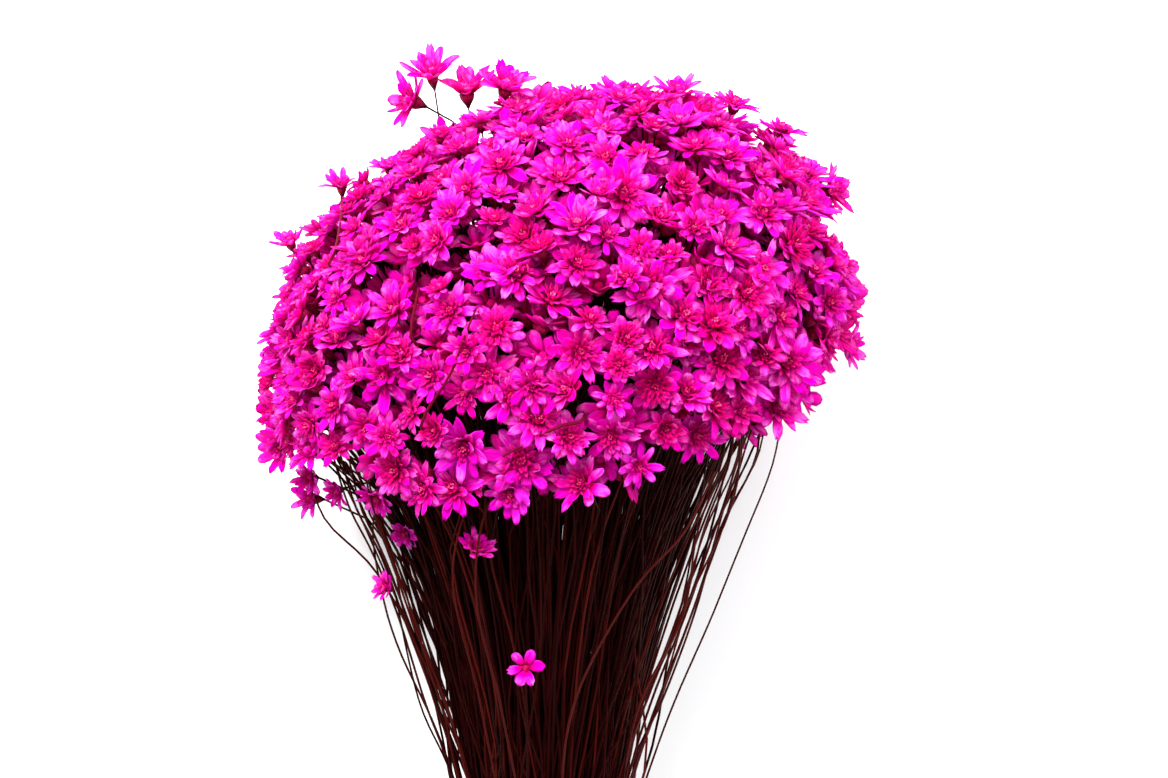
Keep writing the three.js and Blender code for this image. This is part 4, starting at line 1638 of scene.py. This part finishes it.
class GLIXIA_OT_crown_stems(bpy.types.Operator):
    """Build the crown's stems, one for each flower head, one piece for each cluster"""

    bl_idname = "glixia.crown_stems"
    bl_label = "Crown Stems"

    def execute(self, context):
        sizes = context.scene.glixia_stems
        bare = bare_stems()
        for number, heads in enumerate(all_heads(), 1):
            stems = [stem for stem in bare if cluster_of(stem.points[-1]) == number - 1]
            for head in heads:
                step = sizes.stray_step if strays(head.thing) else sizes.step
                stems.append(stem_of(head.thing, stem_route(head), step))
            piece = grow_tubes(f"crown_stems_{number:02d}", stems, stem_values())
            place_piece(piece, "stems", f"stems_{number:02d}")
        return {"FINISHED"}


class GLIXIA_OT_low_flowers(bpy.types.Operator):
    """Build the flowers below the rim, each with its stem"""

    bl_idname = "glixia.low_flowers"
    bl_label = "Low Flowers"

    def execute(self, context):
        for number, flower in enumerate(LOW_FLOWERS, 1):
            thing = LOW_NUMBER + number
            kind = "plain" if flower.look == "plain" else "grown"
            axis = Vector(flower.facing)
            head = Head(seen_at(*flower.seen), axis, flower.width / 2, thing, flower.look, kind)
            piece = grow_heads(f"low_flower_{number}", [head], flower_finishes())
            place_piece(piece, "flower_heads", f"low_flower_head_{number}")
            route = outer_tie_places(flower.tie_turn, thing, LOW_STEM_TIE_RADIUS)
            route += [Vector(point) for point in flower.passing]
            route.append(head.neck(CALYX_DEPTH - STEM_IN_CALYX))
            stem = stem_of(thing, route, context.scene.glixia_stems.fine_step)
            piece = grow_tubes(f"low_stem_{number}", [stem], stem_values())
            place_piece(piece, "stems", f"low_flower_stem_{number}")
        return {"FINISHED"}


class GLIXIA_OT_tie(bpy.types.Operator):
    """Build the twine that ties the stems"""

    bl_idname = "glixia.tie"
    bl_label = "Tie"

    def execute(self, context):
        sizes = context.scene.glixia_tie
        routes = [
            Route(points, sizes.strand_radius / MILLIMETRE, noise(strand, Draw.TWINE_TONE), sizes.step)
            for strand, points in enumerate(twine_routes())
        ]
        piece = grow_tubes("twine_tie", routes, {
            "Sides": STRAND_SIDES,
            "Waver": STRAND_WAVER * MILLIMETRE,
            "Waver Scale": STRAND_WAVER_SCALE,
            "Tip Share": 1.0,
            "Finish": twine_material(),
        })
        place_piece(piece, "tie", "tie")
        return {"FINISHED"}


def area_light(name, power, width, place):
    """A round light at a place, aimed at the bunch."""
    data = bpy.data.lights.new(name, "AREA")
    data.energy = power
    data.shape = "DISK"
    data.size = width
    light = linked(name, data)
    light.location = place
    light.rotation_euler = (Vector(LIGHTS_TARGET) - Vector(place)).to_track_quat("-Z", "Y").to_euler()


def set_sky(strength):
    """An even white light from all around."""
    world = bpy.data.worlds.new("studio")
    world.use_nodes = True
    background = world.node_tree.nodes["Background"]
    background.inputs["Color"].default_value = (1, 1, 1, 1)
    background.inputs["Strength"].default_value = strength
    bpy.context.scene.world = world


def add_camera():
    """A camera straight above the bunch, looking down."""
    height = STEMS_RADIUS_AT_ENDS * math.cos(LYING_TILT) + VIEW_MIDDLE.y * math.sin(LYING_TILT)
    data = bpy.data.cameras.new("camera")
    data.lens = data.sensor_width * VIEW_DISTANCE / VIEW_WIDTH
    camera = linked("camera", data)
    camera.location = Vector((
        VIEW_MIDDLE.x - LYING_MIDDLE.x, VIEW_MIDDLE.y - LYING_MIDDLE.y, height + VIEW_DISTANCE,
    )) * MILLIMETRE
    bpy.context.scene.camera = camera


def add_floor():
    """A flat floor under everything, which is no piece."""
    mesh = bpy.data.meshes.new("floor")
    corners = [(x * FLOOR_REACH, y * FLOOR_REACH, 0) for x, y in ((-1, -1), (1, -1), (1, 1), (-1, 1))]
    mesh.from_pydata(corners, [], [(0, 1, 2, 3)])
    mesh.materials.append(floor_material())
    linked("floor", mesh)


class GLIXIA_OT_stage(bpy.types.Operator):
    """Build the floor, the lights and the camera"""

    bl_idname = "glixia.stage"
    bl_label = "Stage"

    def execute(self, context):
        stage = context.scene.glixia_stage
        add_floor()
        area_light("main_light", stage.key_power, MAIN_LIGHT_WIDTH, MAIN_LIGHT_PLACE)
        area_light("fill_light", stage.fill_power, FILL_LIGHT_WIDTH, FILL_LIGHT_PLACE)
        set_sky(stage.sky)
        context.scene.view_settings.view_transform = "Standard"
        add_camera()
        return {"FINISHED"}


OPERATORS = (
    GLIXIA_OT_stage,
    GLIXIA_OT_crown_flowers,
    GLIXIA_OT_crown_stems,
    GLIXIA_OT_low_flowers,
    GLIXIA_OT_tie,
)
SETTINGS = {
    "glixia_flowers": FlowerSettings,
    "glixia_stems": StemSettings,
    "glixia_tie": TieSettings,
    "glixia_stage": StageSettings,
}


class GLIXIA_PT_panel(bpy.types.Panel):
    """Lists the bunch's settings and the operators that build it"""

    bl_idname = "GLIXIA_PT_panel"
    bl_label = "Dried Glixia Bunch"
    bl_space_type = "VIEW_3D"
    bl_region_type = "UI"
    bl_category = "Glixia"

    def draw(self, context):
        for key, settings in SETTINGS.items():
            box = self.layout.box()
            for name in settings.__annotations__:
                box.prop(getattr(context.scene, key), name)
        for operator in OPERATORS:
            self.layout.operator(operator.bl_idname)


def register():
    for each in (*SETTINGS.values(), *OPERATORS, GLIXIA_PT_panel):
        bpy.utils.register_class(each)
    for key, settings in SETTINGS.items():
        setattr(bpy.types.Scene, key, bpy.props.PointerProperty(type=settings))


def unregister():
    for key in SETTINGS:
        delattr(bpy.types.Scene, key)
    for each in (GLIXIA_PT_panel, *reversed(OPERATORS), *SETTINGS.values()):
        bpy.utils.unregister_class(each)


def main():
    register()
    bpy.ops.glixia.stage()
    bpy.ops.glixia.crown_flowers()
    bpy.ops.glixia.crown_stems()
    bpy.ops.glixia.low_flowers()
    bpy.ops.glixia.tie()


if __name__ == "__main__":
    main()
